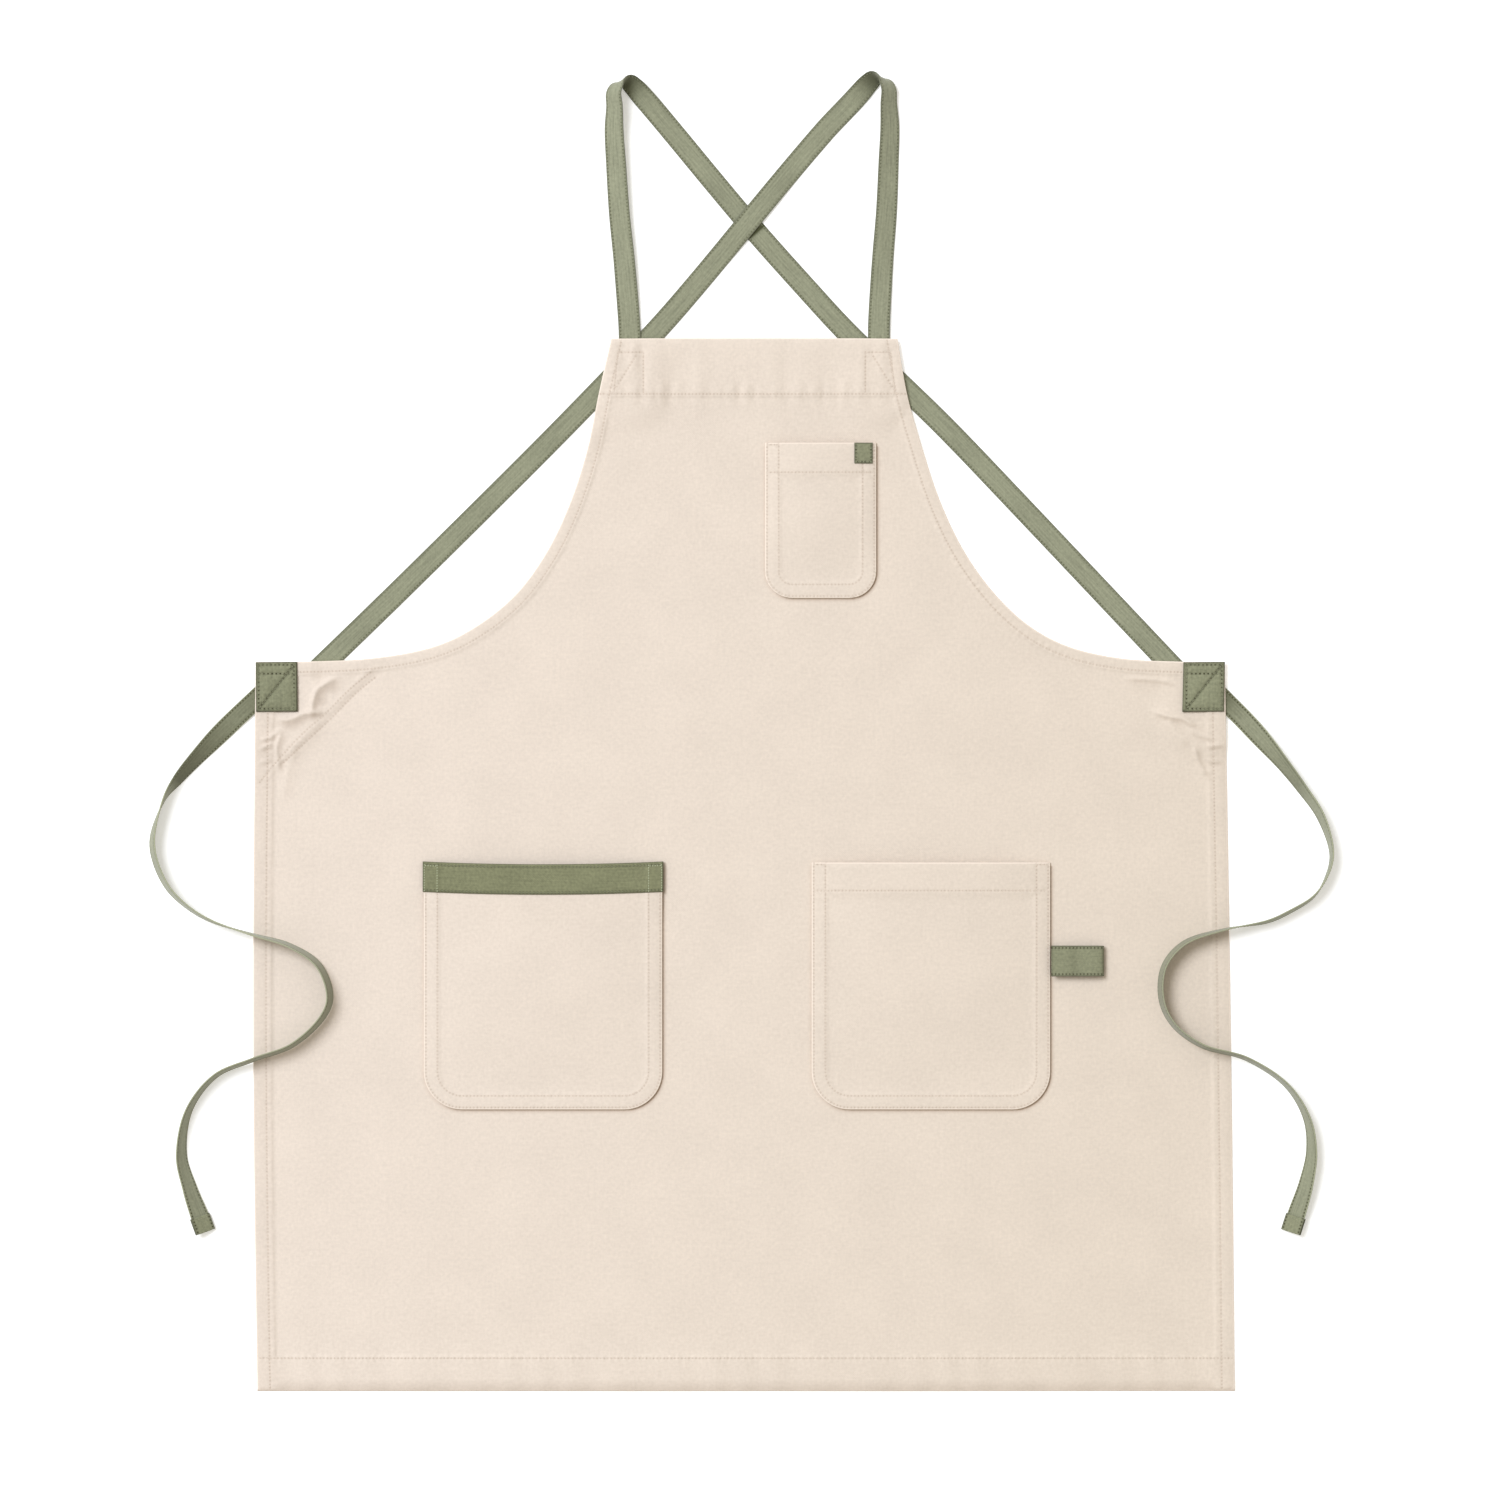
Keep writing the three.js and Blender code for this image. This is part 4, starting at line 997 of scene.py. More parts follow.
class Pocket:
    """Patch pocket with rounded lower corners, sewn down round its edge and open at its mouth."""

    def __init__(self, size, radius, rise, hem, rim, middle, mouth, sag):
        self.width, self.height = size
        self.radius = radius
        self.rise = rise
        self.hem = hem
        self.rim = rim
        self.middle = middle
        self.mouth = mouth
        self.sag = sag

    def mouth_dip(self, across):
        """How far the mouth's edge hangs below its corners."""
        return self.sag * (1 - np.clip(2 * across / self.width, -1, 1) ** 2)

    def half(self, down):
        into = np.maximum(down - (self.height - self.radius), 0)
        return self.width / 2 - self.radius + np.sqrt(np.maximum(self.radius ** 2 - into ** 2, 0))

    def gape(self, across, down):
        """Height of the pocket's underside."""
        sideways = np.clip(np.abs(across) / np.maximum(self.half(down), 1e-6), 0, 1)
        arch = np.maximum(1 - sideways ** MOUTH_ROUNDNESS, 0)
        depth = 1 - smooth((down / self.height - GAPE_UNTIL) / GAPE_SLOPE)
        lip = self.rim * (1 - smooth((down - BINDING_HEIGHT) / self.radius))
        plan = np.column_stack((self.middle + across, self.mouth - down))
        return SEAT_ON_BODY + lip + self.rise * arch * depth + ripple(plan)

    def line(self, inset):
        """U of the pocket's edge, moved in, from the upper left to the upper right."""
        half, radius = self.width / 2 - inset, self.radius - inset
        foot = self.mouth - self.height + inset
        turns = np.linspace(math.pi, 1.5 * math.pi, 14)
        left = np.column_stack((self.middle - half + radius + radius * np.cos(turns),
                                foot + radius + radius * np.sin(turns)))
        right = left[::-1] * (-1, 1) + (2 * self.middle, 0)
        return np.vstack(((self.middle - half, self.mouth), left, right,
                          (self.middle + half, self.mouth)))

    def outline(self):
        across = np.linspace(0.5, -0.5, 26)[1:-1] * self.width
        mouth = np.column_stack((self.middle + across, self.mouth - self.mouth_dip(across)))
        return np.vstack((self.line(0), mouth))

    def thickness(self, points, down):
        away = self.edge_distance(points)
        turned = 1 - smooth((away - SEAM_ALLOWANCE) / SOFT_STEP)
        hemmed = (1 - smooth((down - self.hem) / SOFT_STEP)) if self.hem else 0.0
        return mix(POCKET_CLOTH, TURNED_CLOTH, np.maximum(turned, hemmed))

    def edge_distance(self, points):
        away, _ = nearest(tree_of(resampled(self.line(0), TRACE_STEP)), points)
        return away

    def heights(self, points, seams):
        across, down = points[:, 0] - self.middle, self.mouth - points[:, 1]
        under = self.gape(across, down)
        return under, under + self.thickness(points, down) + seams.relief(points)

    def rows(self, hem_row):
        """Two rows round the edge, one under the hem and bars that close the mouth's corners."""
        insets = (OUTER_ROW_INSET, INNER_ROW_INSET)
        rows = [self.line(inset) for inset in insets]
        y = self.mouth - OUTER_ROW_INSET
        for side in (LEFT, RIGHT):
            ends = [self.middle + side * (self.width / 2 - inset) for inset in insets]
            rows.append(np.array(((ends[0], y), (ends[1], y))))
        if hem_row:
            y = self.mouth - hem_row
            half = self.width / 2 - OUTER_ROW_INSET
            rows.append(np.array(((self.middle - half, y), (self.middle + half, y))))
        return rows


def hip_pocket(side):
    mouth = WAIST_LINE - HIP_POCKET_DROP
    edge = body_edge(side, mouth - HIP_POCKET_HEIGHT / 2)
    middle = edge - side * (HIP_POCKET_INSET[side] + HIP_POCKET_WIDTH / 2)
    hem = POCKET_HEM if side == RIGHT else 0.0
    rim = BINDING_CLOTH + SEAM_GAP if side == LEFT else 0.0
    size = (HIP_POCKET_WIDTH, HIP_POCKET_HEIGHT)
    sag = MOUTH_SAG if side == LEFT else 0.0
    return Pocket(size, HIP_POCKET_RADIUS, HIP_MOUTH_RISE, hem, rim, middle, mouth, sag)


def chest_pocket():
    size = (CHEST_POCKET_WIDTH, CHEST_POCKET_HEIGHT)
    mouth = APRON_LENGTH - CHEST_POCKET_DROP
    return Pocket(size, CHEST_POCKET_RADIUS, CHEST_MOUTH_RISE, POCKET_HEM, 0.0, CHEST_POCKET_SHIFT,
                  mouth, 0.0)


def pockets():
    """The pockets, each with its node and how far down the row under its hem is."""
    return (("hip_pocket_left", hip_pocket(LEFT), None),
            ("hip_pocket_right", hip_pocket(RIGHT), POCKET_HEM_STITCH),
            ("chest_pocket", chest_pocket(), CHEST_HEM_STITCH))


# Materials

class Value:
    """A number in a material; Python's operators add its Math nodes."""

    def __init__(self, tree, socket):
        self.tree = tree
        self.socket = socket

    def maths(self, operation, *values):
        node = self.tree.nodes.new("ShaderNodeMath")
        node.operation = operation
        for place, value in zip(node.inputs, values):
            if isinstance(value, Value):
                self.tree.links.new(value.socket, place)
            else:
                place.default_value = value
        return Value(self.tree, node.outputs[0])

    def __add__(self, other):
        return self.maths("ADD", self, other)

    __radd__ = __add__

    def __sub__(self, other):
        return self.maths("SUBTRACT", self, other)

    def __rsub__(self, other):
        return self.maths("SUBTRACT", other, self)

    def __mul__(self, other):
        return self.maths("MULTIPLY", self, other)

    __rmul__ = __mul__

    def __truediv__(self, other):
        return self.maths("DIVIDE", self, other)

    def __pow__(self, other):
        return self.maths("POWER", self, other)

    def sine(self):
        return self.maths("SINE", self)

    def cosine(self):
        return self.maths("COSINE", self)

    def clamped(self):
        return self.maths("MINIMUM", self.maths("MAXIMUM", self, 0.0), 1.0)


class Finish:
    """A material under construction, with one method that makes any other node."""

    def __init__(self, name):
        self.material = bpy.data.materials.new(name)
        self.material.use_nodes = True
        self.tree = self.material.node_tree
        self.tree.nodes.clear()

    def node(self, kind, settings=None, values=None):
        node = self.tree.nodes.new(kind)
        for key, value in (settings or {}).items():
            setattr(node, key, value)
        for key, value in (values or {}).items():
            socket = node.inputs[key]
            if isinstance(value, Value):
                self.tree.links.new(value.socket, socket)
            elif isinstance(value, bpy.types.NodeSocket):
                self.tree.links.new(value, socket)
            else:
                socket.default_value = value
        return node

    def value(self, socket):
        return Value(self.tree, socket)

    def blend(self, a, b, factor):
        """Colour between two others; each may be a socket or a colour. The Mix node's colours are
        its inputs 6 and 7."""
        return self.node("ShaderNodeMix", {"data_type": "RGBA"}, {0: factor, 6: a, 7: b}).outputs[2]

    def parts(self, vector):
        """The three numbers of a vector."""
        apart = self.node("ShaderNodeSeparateXYZ", None, {"Vector": vector})
        return [self.value(socket) for socket in apart.outputs]

    def noise(self, coordinates, stretch, scale, detail):
        """Noise from 0 to 1 over the cloth, stretched along or across it."""
        spread = self.node("ShaderNodeVectorMath", {"operation": "MULTIPLY"},
                           {0: coordinates, 1: stretch})
        return self.value(self.node("ShaderNodeTexNoise", None, {
            "Vector": spread.outputs[0], "Scale": scale, "Detail": detail}).outputs["Fac"])

    def surface(self, colour, roughness, sheen, normal, glow=0.0):
        values = {"Base Color": colour, "Roughness": roughness, "Specular IOR Level": 0.18,
                  "Sheen Weight": sheen, "Sheen Roughness": 0.45, "Normal": normal,
                  "Emission Color": (1.0, 1.0, 1.0, 1.0), "Emission Strength": glow}
        shader = self.node("ShaderNodeBsdfPrincipled", None, values)
        self.node("ShaderNodeOutputMaterial", None, {"Surface": shader.outputs[0]})
        return self.material


def tone(colour, factor):
    return (*(min(c * factor, 1.0) for c in colour), 1.0)


def woven(name, colour, deep, mottle, sheen, needle, painted_edge_light, shaded_colour_right=None, twill=True,
          streaks=0.36, seam_line=0.20):
    """Woven cotton: yarns, slubs and mottling, needle holes along its rows, painted light on its edge,
    painted shade from the mesh, and for the canvas a painted fall-off of light to the right.
    """
    finish = Finish(name)
    colour, yarn = getattr(colours(), colour), sizes().webbing_yarn if twill else sizes().canvas_yarn
    place = finish.node("ShaderNodeAttribute", {"attribute_name": "cloth"}).outputs["Vector"]
    sewn = finish.node("ShaderNodeAttribute", {"attribute_name": "sewing"}).outputs["Vector"]
    across, along = finish.parts(place)[:2]
    to_row, stitch, to_edge = finish.parts(sewn)
    row = (1.25 - to_row / 0.0009).clamped()
    hole = ((stitch * (2 * math.pi)).cosine() * 0.5 + 0.5) ** 2
    edge = (1.2 - to_edge / 0.0012).clamped()
    turn = math.pi / yarn
    warp, weft = (across * turn).sine(), (along * turn).sine()
    if twill:
        yarns = ((across + along) * (turn / 1.6)).sine() * 0.6 + warp * 0.4
    else:
        yarns = warp * weft
    cloud = finish.noise(place, (1, 1, 1), 22, 2)
    grain = finish.noise(place, (1, 1, 1), 430 if twill else 360, 3)
    if twill:
        slubs = finish.noise(place, (1, 0.05, 1), 760, 2) * 2
        shade = (cloud * 0.5 + grain * (1.66 - streaks) + slubs * streaks
                 - 0.58 - 0.5 * streaks).clamped()
    else:
        slubs = finish.noise(place, (1, 0.25, 1), 620, 1) + finish.noise(place, (0.25, 1, 1), 620, 1)
        shade = (cloud * 0.7 + grain * 1.45 + slubs * 0.42 - 1.05).clamped()
    base = finish.blend(tone(colour, 1 - mottle), tone(colour, 1 + mottle), shade)
    # Painted fall-off of light: the canvas deepens towards the lower right
    if shaded_colour_right:
        shaded_colour_right = getattr(colours(), shaded_colour_right)
        light_falloff = (across * 1.45 - along * 0.33 + 0.60).clamped()
        right = finish.blend(tone(shaded_colour_right, 1 - mottle), tone(shaded_colour_right, 1 + mottle), shade)
        base = finish.blend(base, right, light_falloff)
    # Painted light on the edges: a painted highlight where the edge's tone is above 1, painted shade where
    # it is below
    base = finish.blend(base, tone(colour, painted_edge_light), edge * 0.85)
    base = finish.blend(base, deep, row * (hole * needle + seam_line))
    # Painted shade carried by the mesh's shade attribute
    painted_shade = finish.node("ShaderNodeAttribute", {"attribute_name": "shade"}).outputs["Fac"]
    base = finish.blend(base, deep, painted_shade)
    relief = yarns * 0.5 + grain * 0.9 + slubs * 0.6
    bump = finish.node("ShaderNodeBump", None, {
        "Strength": 0.6, "Distance": 0.00016, "Height": relief})
    roughness = shade * 0.08 + 0.86
    return finish.surface(base, roughness, sheen, bump.outputs[0])


def thread(name):
    """Twisted cotton thread."""
    finish = Finish(name)
    colour = getattr(colours(), name)
    place = finish.node("ShaderNodeAttribute", {"attribute_name": "cloth"}).outputs["Vector"]
    across, along = finish.parts(place)[:2]
    strands = ((across + along) * 14000).sine() * 0.5 + 0.5
    base = finish.blend(tone(colour, 0.82), tone(colour, 1.06), strands)
    bump = finish.node("ShaderNodeBump", None, {
        "Strength": 0.5, "Distance": 0.00006, "Height": strands})
    return finish.surface(base, strands * 0.1 + 0.7, 0.2, bump.outputs[0])


# Woven cloths: colour, its dark tone for needle holes and painted shade, mottling, sheen, strength of the
# needle holes, painted light on the edge (a painted highlight above 1, painted shade below 1); then how
# much streaks show along a twill and how dark a row is. The ties' pale edges are a painted highlight where
# they stand on them, and their darker rows are partly painted shade. The canvas's deeper colour to the
# right is a painted fall-off of light.
CLOTHS = {
    "cream_canvas": {"colour": "canvas", "shaded_colour_right": "canvas_right", "twill": False,
                     "deep": (0.300, 0.200, 0.130, 1), "mottle": 0.075, "sheen": 0.10,
                     "needle": 0.36, "painted_edge_light": 1.18, "seam_line": 0.05},
    "green_webbing": {"colour": "strap", "deep": (0.060, 0.064, 0.028, 1), "mottle": 0.26,
                      "sheen": 0.30, "needle": 0.62, "painted_edge_light": 0.52, "streaks": 0.62},
    "green_tie": {"colour": "strap", "deep": (0.050, 0.050, 0.018, 1), "mottle": 0.26,
                  "sheen": 0.30, "needle": 0.62, "painted_edge_light": 1.45, "streaks": 0.62,
                  "seam_line": 0.45},
    "green_trim": {"colour": "trim", "deep": (0.040, 0.038, 0.016, 1), "mottle": 0.28,
                   "sheen": 0.22, "needle": 0.92, "painted_edge_light": 0.46},
    "green_binding": {"colour": "binding", "deep": (0.040, 0.040, 0.016, 1), "mottle": 0.28,
                      "sheen": 0.22, "needle": 0.85, "painted_edge_light": 0.50},
}


def material(name):
    """A material by its name, made when it is first asked for."""
    made = bpy.data.materials.get(name)
    if made:
        return made
    return woven(name, **CLOTHS[name]) if name in CLOTHS else thread(name)


def polygon_area(outline):
    x, y = outline[:, 0], outline[:, 1]
    return abs(np.dot(x, np.roll(y, -1)) - np.dot(y, np.roll(x, -1))) / 2


# Pieces

def sew(piece, name, rows, thread_name, flat, node=None, pitch=None, **lying):
    """Stitch a piece and let it stand for its node, whose imported part is hidden; how it was cut and how
    it lies are not used.
    """
    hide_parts(node or name)
    stitches = add_stitches(f"{name}_stitches", rows, material(thread_name), pitch)


class APRON_OT_body(bpy.types.Operator):
    """Make the canvas body with its hems, creases and stitches"""

    bl_idname = "apron.body"
    bl_label = "Body"

    def execute(self, context):
        outline = body_outline()
        lines = hem_lines() + [line for line, _, _ in CREASES]
        lines += [pocket.line(0) for _, pocket, _ in pockets()]
        body, rows = add_panel(
            "body_cloth", outline, body_rows(), body_heights, material("cream_canvas"),
            BODY_MESH, lines, shading=body_shading)
        sew(body, "body", rows, "cream_thread", (HEM_WIDTH, APRON_LENGTH), node="apron_body",
            held="laid", area=polygon_area(outline),
            rests_on=["shoulder_strap_left_band", "shoulder_strap_right_band"])
        return {"FINISHED"}


class APRON_OT_pockets(bpy.types.Operator):
    """Make the two hip pockets and the chest pocket"""

    bl_idname = "apron.pockets"
    bl_label = "Pockets"

    def execute(self, context):
        for node, pocket, hem_row in pockets():
            outline = pocket.outline()
            piece, rows = add_panel(
                f"{node}_cloth", outline, pocket.rows(hem_row), pocket.heights,
                material("cream_canvas"), POCKET_MESH)
            sew(piece, node, rows, "cream_thread", (pocket.width, pocket.height), held="laid",
                area=polygon_area(outline), rests_on=["body_cloth"])
        return {"FINISHED"}


class APRON_OT_binding(bpy.types.Operator):
    """Fold the green binding over the left pocket's mouth"""

    bl_idname = "apron.binding"
    bl_label = "Pocket binding"

    def execute(self, context):
        pocket = hip_pocket(LEFT)
        half = pocket.width / 2 + BINDING_OVERHANG
        stations = np.linspace(-half, half, 150)
        fold = SEAM_GAP + BINDING_CLOTH
        by_row = np.array((0.0027, BINDING_ROW, 0.0008))
        downs = np.array((BINDING_HEIGHT, *(BINDING_HEIGHT - by_row[::-1]), 0.018, 0.012, 0.007, 0.0038,
                          *by_row))
        rings = []
        rows_down = (BINDING_HEIGHT - BINDING_ROW, BINDING_ROW)
        seam = sum(bell(downs - row, 0.0007) for row in rows_down)
        for x in stations:
            inside = np.full(len(downs), np.clip(x, -pocket.width / 2, pocket.width / 2))
            plan = np.column_stack((pocket.middle + inside, pocket.mouth - downs))
            back = pocket.gape(inside, downs) - SEAM_GAP
            face = pocket.gape(inside, downs) + pocket.thickness(plan, downs) + SEAM_GAP
            wave = math.sin(x * 2 * math.pi / 0.0056 + 1.7 * math.sin(x * 71))
            outside = face + BINDING_CLOTH - seam * (sizes().groove - 0.4 * sizes().pucker * wave)
            outside[0] -= 0.3 * BINDING_CLOTH
            front_out = list(zip(downs, outside))
            back_out = [(d, z - BINDING_CLOTH) for d, z in zip(downs[::-1], back[::-1])]
            middle = (outside[-1] + back[-1] - BINDING_CLOTH) / 2
            reach = (outside[-1] - back[-1] + BINDING_CLOTH) / 2
            turns = np.linspace(0.5 * math.pi, -0.5 * math.pi, 9)[1:-1]
            outer = [(0.0004 - fold * math.cos(a) * 1.1, middle + reach * math.sin(a)) for a in turns]
            inner_reach = reach - BINDING_CLOTH
            inner = [(0.0004 - (fold - BINDING_CLOTH) * math.cos(a), middle + inner_reach * math.sin(a))
                     for a in turns[::-1]]
            back_in = list(zip(downs, back))
            front_in = list(zip(downs[::-1], face[::-1]))
            contour = front_out + outer + back_out + back_in + inner + front_in
            mouth = pocket.mouth - pocket.mouth_dip(x)
            rings.append([(pocket.middle + x, mouth - d, z) for d, z in contour])
        rings = np.array(rings)
        points, faces = sweep(rings)
        faces = facing_out(points, faces)
        cloth = np.column_stack((points[:, 1], points[:, 0], np.zeros(len(points))))
        downwards = (pocket.mouth - pocket.mouth_dip(stations))[:, None] - rings[:, :, 1]
        to_row = np.minimum(*(np.abs(downwards - row) for row in rows_down))
        to_end = half - np.abs(stations)
        to_edge = np.minimum(np.minimum(downwards + fold, BINDING_HEIGHT - downwards), to_end[:, None])
        sewing = np.stack((to_row, np.broadcast_to(in_stitches(stations + half)[:, None], to_row.shape),
                           np.maximum(to_edge, 0)), axis=-1)
        piece = add_piece("pocket_binding_cloth", points, faces, cloth, sewing.reshape(-1, 3),
                          material("green_binding"))
        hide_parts("pocket_binding")
        columns = [int(np.argmin(np.abs(downs - row))) for row in rows_down]
        rows = [rings[:, c, :] for c in columns]
        bars = []
        for side in (LEFT, RIGHT):
            x = side * (pocket.width / 2 - INNER_ROW_INSET)
            inner = int(np.argmin(np.abs(stations - x)))
            outer = int(np.argmin(np.abs(stations - side * (half - 0.0019))))
            low, high = min(inner, outer), max(inner, outer)
            bars += [rings[station, :len(downs), :] + (0, 0, 0.00008) for station in (inner, outer)]
            bars.append(rings[low:high + 1, columns[1], :] - (0, 0.0008, -0.0001))
        rows, bars = ([(row, upwards(row)) for row in group] for group in (rows, bars))
        stitches = add_stitches("pocket_binding_stitches", rows, material("green_thread"))
        bartacks = add_stitches("pocket_binding_bartacks", bars, material("bartack_thread"),
                                BARTACK_PITCH, stoutness=1.7)
        return {"FINISHED"}


class APRON_OT_label(bpy.types.Operator):
    """Sew the small bare label to the chest pocket"""

    bl_idname = "apron.label"
    bl_label = "Pocket label"

    def execute(self, context):
        pocket = chest_pocket()
        right = pocket.middle + pocket.width / 2 - LABEL_INSET
        left, top, foot = right - LABEL_WIDTH, pocket.mouth, pocket.mouth - LABEL_HEIGHT
        outline = np.array(((left, foot), (right, foot), (right, top), (left, top)))
        pocket_seams = Seams(pocket.rows(CHEST_HEM_STITCH))

        def heights(points, seams):
            _, cloth = pocket.heights(points, pocket_seams)
            base = pocket.gape(points[:, 0] - pocket.middle, pocket.mouth - points[:, 1])
            under = np.maximum(cloth, base + TURNED_CLOTH) + SEAM_GAP
            return under, under + LABEL_CLOTH + seams.relief(points) * 0.5

        inset = LABEL_ROW_INSET
        row = np.array(((left + inset, top - inset), (left + inset, foot + inset),
                        (right - inset, foot + inset), (right - inset, top - inset)))
        piece, rows = add_panel("pocket_label_cloth", outline, [row], heights,
                                material("green_trim"), LABEL_MESH)
        sew(piece, "pocket_label", rows, "green_thread", (LABEL_WIDTH, LABEL_HEIGHT),
            pitch=LABEL_PITCH, held="laid", rests_on=["chest_pocket_cloth"])
        return {"FINISHED"}


class APRON_OT_tool_loop(bpy.types.Operator):
    """Fold the tool loop beside the right pocket"""

    bl_idname = "apron.tool_loop"
    bl_label = "Tool loop"

    def execute(self, context):
        pocket = hip_pocket(RIGHT)
        start = pocket.middle + pocket.width / 2 + SEAM_GAP + WEBBING / 2
        reach = TOOL_LOOP_LENGTH - SEAM_GAP - WEBBING
        half = (TOOL_LOOP_OPENING + WEBBING) / 2
        base = SEAT_ON_BODY + WEBBING / 2
        route = np.array([(start + u * reach, base + v * half) for u, v in TOOL_LOOP_ROUTE])
        places = even_places(route, TRACE_STEP)
        line = curve(route, places, False)
        y = pocket.mouth - TOOL_LOOP_DROP - TOOL_LOOP_HEIGHT / 2
        middle = np.column_stack((line[:, 0], np.full(len(line), y), line[:, 1]))
        across = np.tile((0.0, 1.0, 0.0), (len(line), 1))
        along = middle[:, 0] - start
        # Painted shade: a soft band across the loop and darker ends where it folds and meets the body
        shade = (0.16 * bell(along - 0.42 * reach, 0.0035) + 0.45 * bell(reach - along, 0.0014)
                 + 0.35 * bell(along, 0.0012))
        piece, rows, length = add_band("tool_loop_band", middle, across, TOOL_LOOP_HEIGHT, WEBBING,
                                       TOOL_LOOP_ROW_INSET, material("green_trim"), rests=False,
                                       shading=shade)
        sew(piece, "tool_loop", rows[1::2] + rows[::2], "green_thread", (TOOL_LOOP_HEIGHT, length),
            held="folded", rests_on=["body_cloth"])
        return {"FINISHED"}


def strap_stations(side):
    """Middle line and direction across of a shoulder strap, with its painted shade."""
    places = strap_places(side)
    half = STRAP_WIDTH / 2
    points, leans = [], []

    def add(x, y, lift, turn, tilt):
        t, e = math.radians(turn), math.radians(tilt)
        points.append((x, y, lift + half * math.sin(e) + WEBBING / 2 * math.cos(e)))
        leans.append((-side * math.cos(t) * math.cos(e), math.sin(t) * math.cos(e), math.sin(e)))

    for share in np.linspace(0, 1, TUCK_STATIONS):
        add(places["tuck"][0], mix(places["tuck"][1], places["bib"][1], share), STRAP_LAYER, 0, 0)
    for up, bow, lift, tilt in STRAP_RUN:
        x = mix(places["bib"][0], places["loop"][0], up) + side * bow * STRAP_RISE[side]
        add(x, mix(places["bib"][1], places["loop"][1], up), lift * STRAP_WIDTH, RUN_TURN, tilt)
    for inward, down, lift, turn, tilt in STRAP_LOOP:
        x = places["loop"][0] - side * inward * STRAP_WIDTH
        add(x, places["loop"][1] - down * STRAP_WIDTH, lift * STRAP_WIDTH, turn, tilt)
    crossing = crossing_of(diagonal_points(side))
    steps = np.arange(1, DIAGONAL_STEPS + 1) / DIAGONAL_STEPS
    line = diagonal_line(side, steps)
    ahead = line - diagonal_line(side, steps - 0.002)
    for point, way in zip(line, ahead):
        away = np.linalg.norm(point - crossing) / STRAP_WIDTH
        over = STRAP_LAYER * (1 - smooth((away - CROSSING_REST) / CROSSING_SLOPE))
        turn = math.degrees(math.atan2(-side * way[0], -way[1]))
        add(*point, over if side == RIGHT else 0.0, turn, 0)
    where = even_places(points, STATION_STEP)
    middle, across = curve(points, where, False), curve(leans, where, False)
    loop_start = TUCK_STATIONS + len(STRAP_RUN)
    loop_end = loop_start + len(STRAP_LOOP) - 1
    eased = smooth((where - loop_end + 1.6) / 1.0)[:, None]
    middle = mix(middle, moving_mean(middle, 9), eased)
    across = mix(across, moving_mean(across, 9), eased)
    # Painted shade inside the fold past the loop, and slightly darker cloth all along the diagonal
    fold = np.linalg.norm(middle[:, :2] - points[loop_start + FOLD_STATION][:2], axis=1)
    past = smooth((where - loop_start - FOLD_START) / 0.8)
    shade = past * (FOLD_SHADE * bell(fold, 0.0125) + DIAGONAL_SHADE)
    # Painted shadow on the left strap beside the edge of the right strap that crosses over it
    if side == LEFT:
        other = resampled(diagonal_line(RIGHT, np.linspace(0, 1, 80)), 0.001)
        away, _ = nearest(tree_of(other), middle[:, :2])
        passed = np.arange(len(middle)) > np.argmin(np.where(past > 0.9, away, 1.0))
        beyond, below = away - STRAP_WIDTH / 2, past * passed
        shade += CROSSING_SHADE * below * bell(beyond - 0.0011, 0.0015)
    lean = np.arcsin(np.clip(unit(across)[:, 2], -1, 1))
    resting = half * np.abs(np.sin(lean)) + WEBBING / 2 * np.cos(lean)
    middle[:, 2] = np.maximum(middle[:, 2], resting)
    return middle, across, shade


class APRON_OT_shoulder_straps(bpy.types.Operator):
    """Lay the two shoulder straps, looped over and crossed"""

    bl_idname = "apron.shoulder_straps"
    bl_label = "Shoulder straps"

    def execute(self, context):
        for name, side in SIDES.items():
            middle, across, shade = strap_stations(side)
            piece, rows, length = add_band(
                f"shoulder_strap_{name}_band", middle, across, STRAP_WIDTH, WEBBING,
                STRAP_STITCH_INSET, material("green_webbing"), shading=shade)
            sew(piece, f"shoulder_strap_{name}", rows, "green_thread", (STRAP_WIDTH, length),
                held="laid")
        return {"FINISHED"}


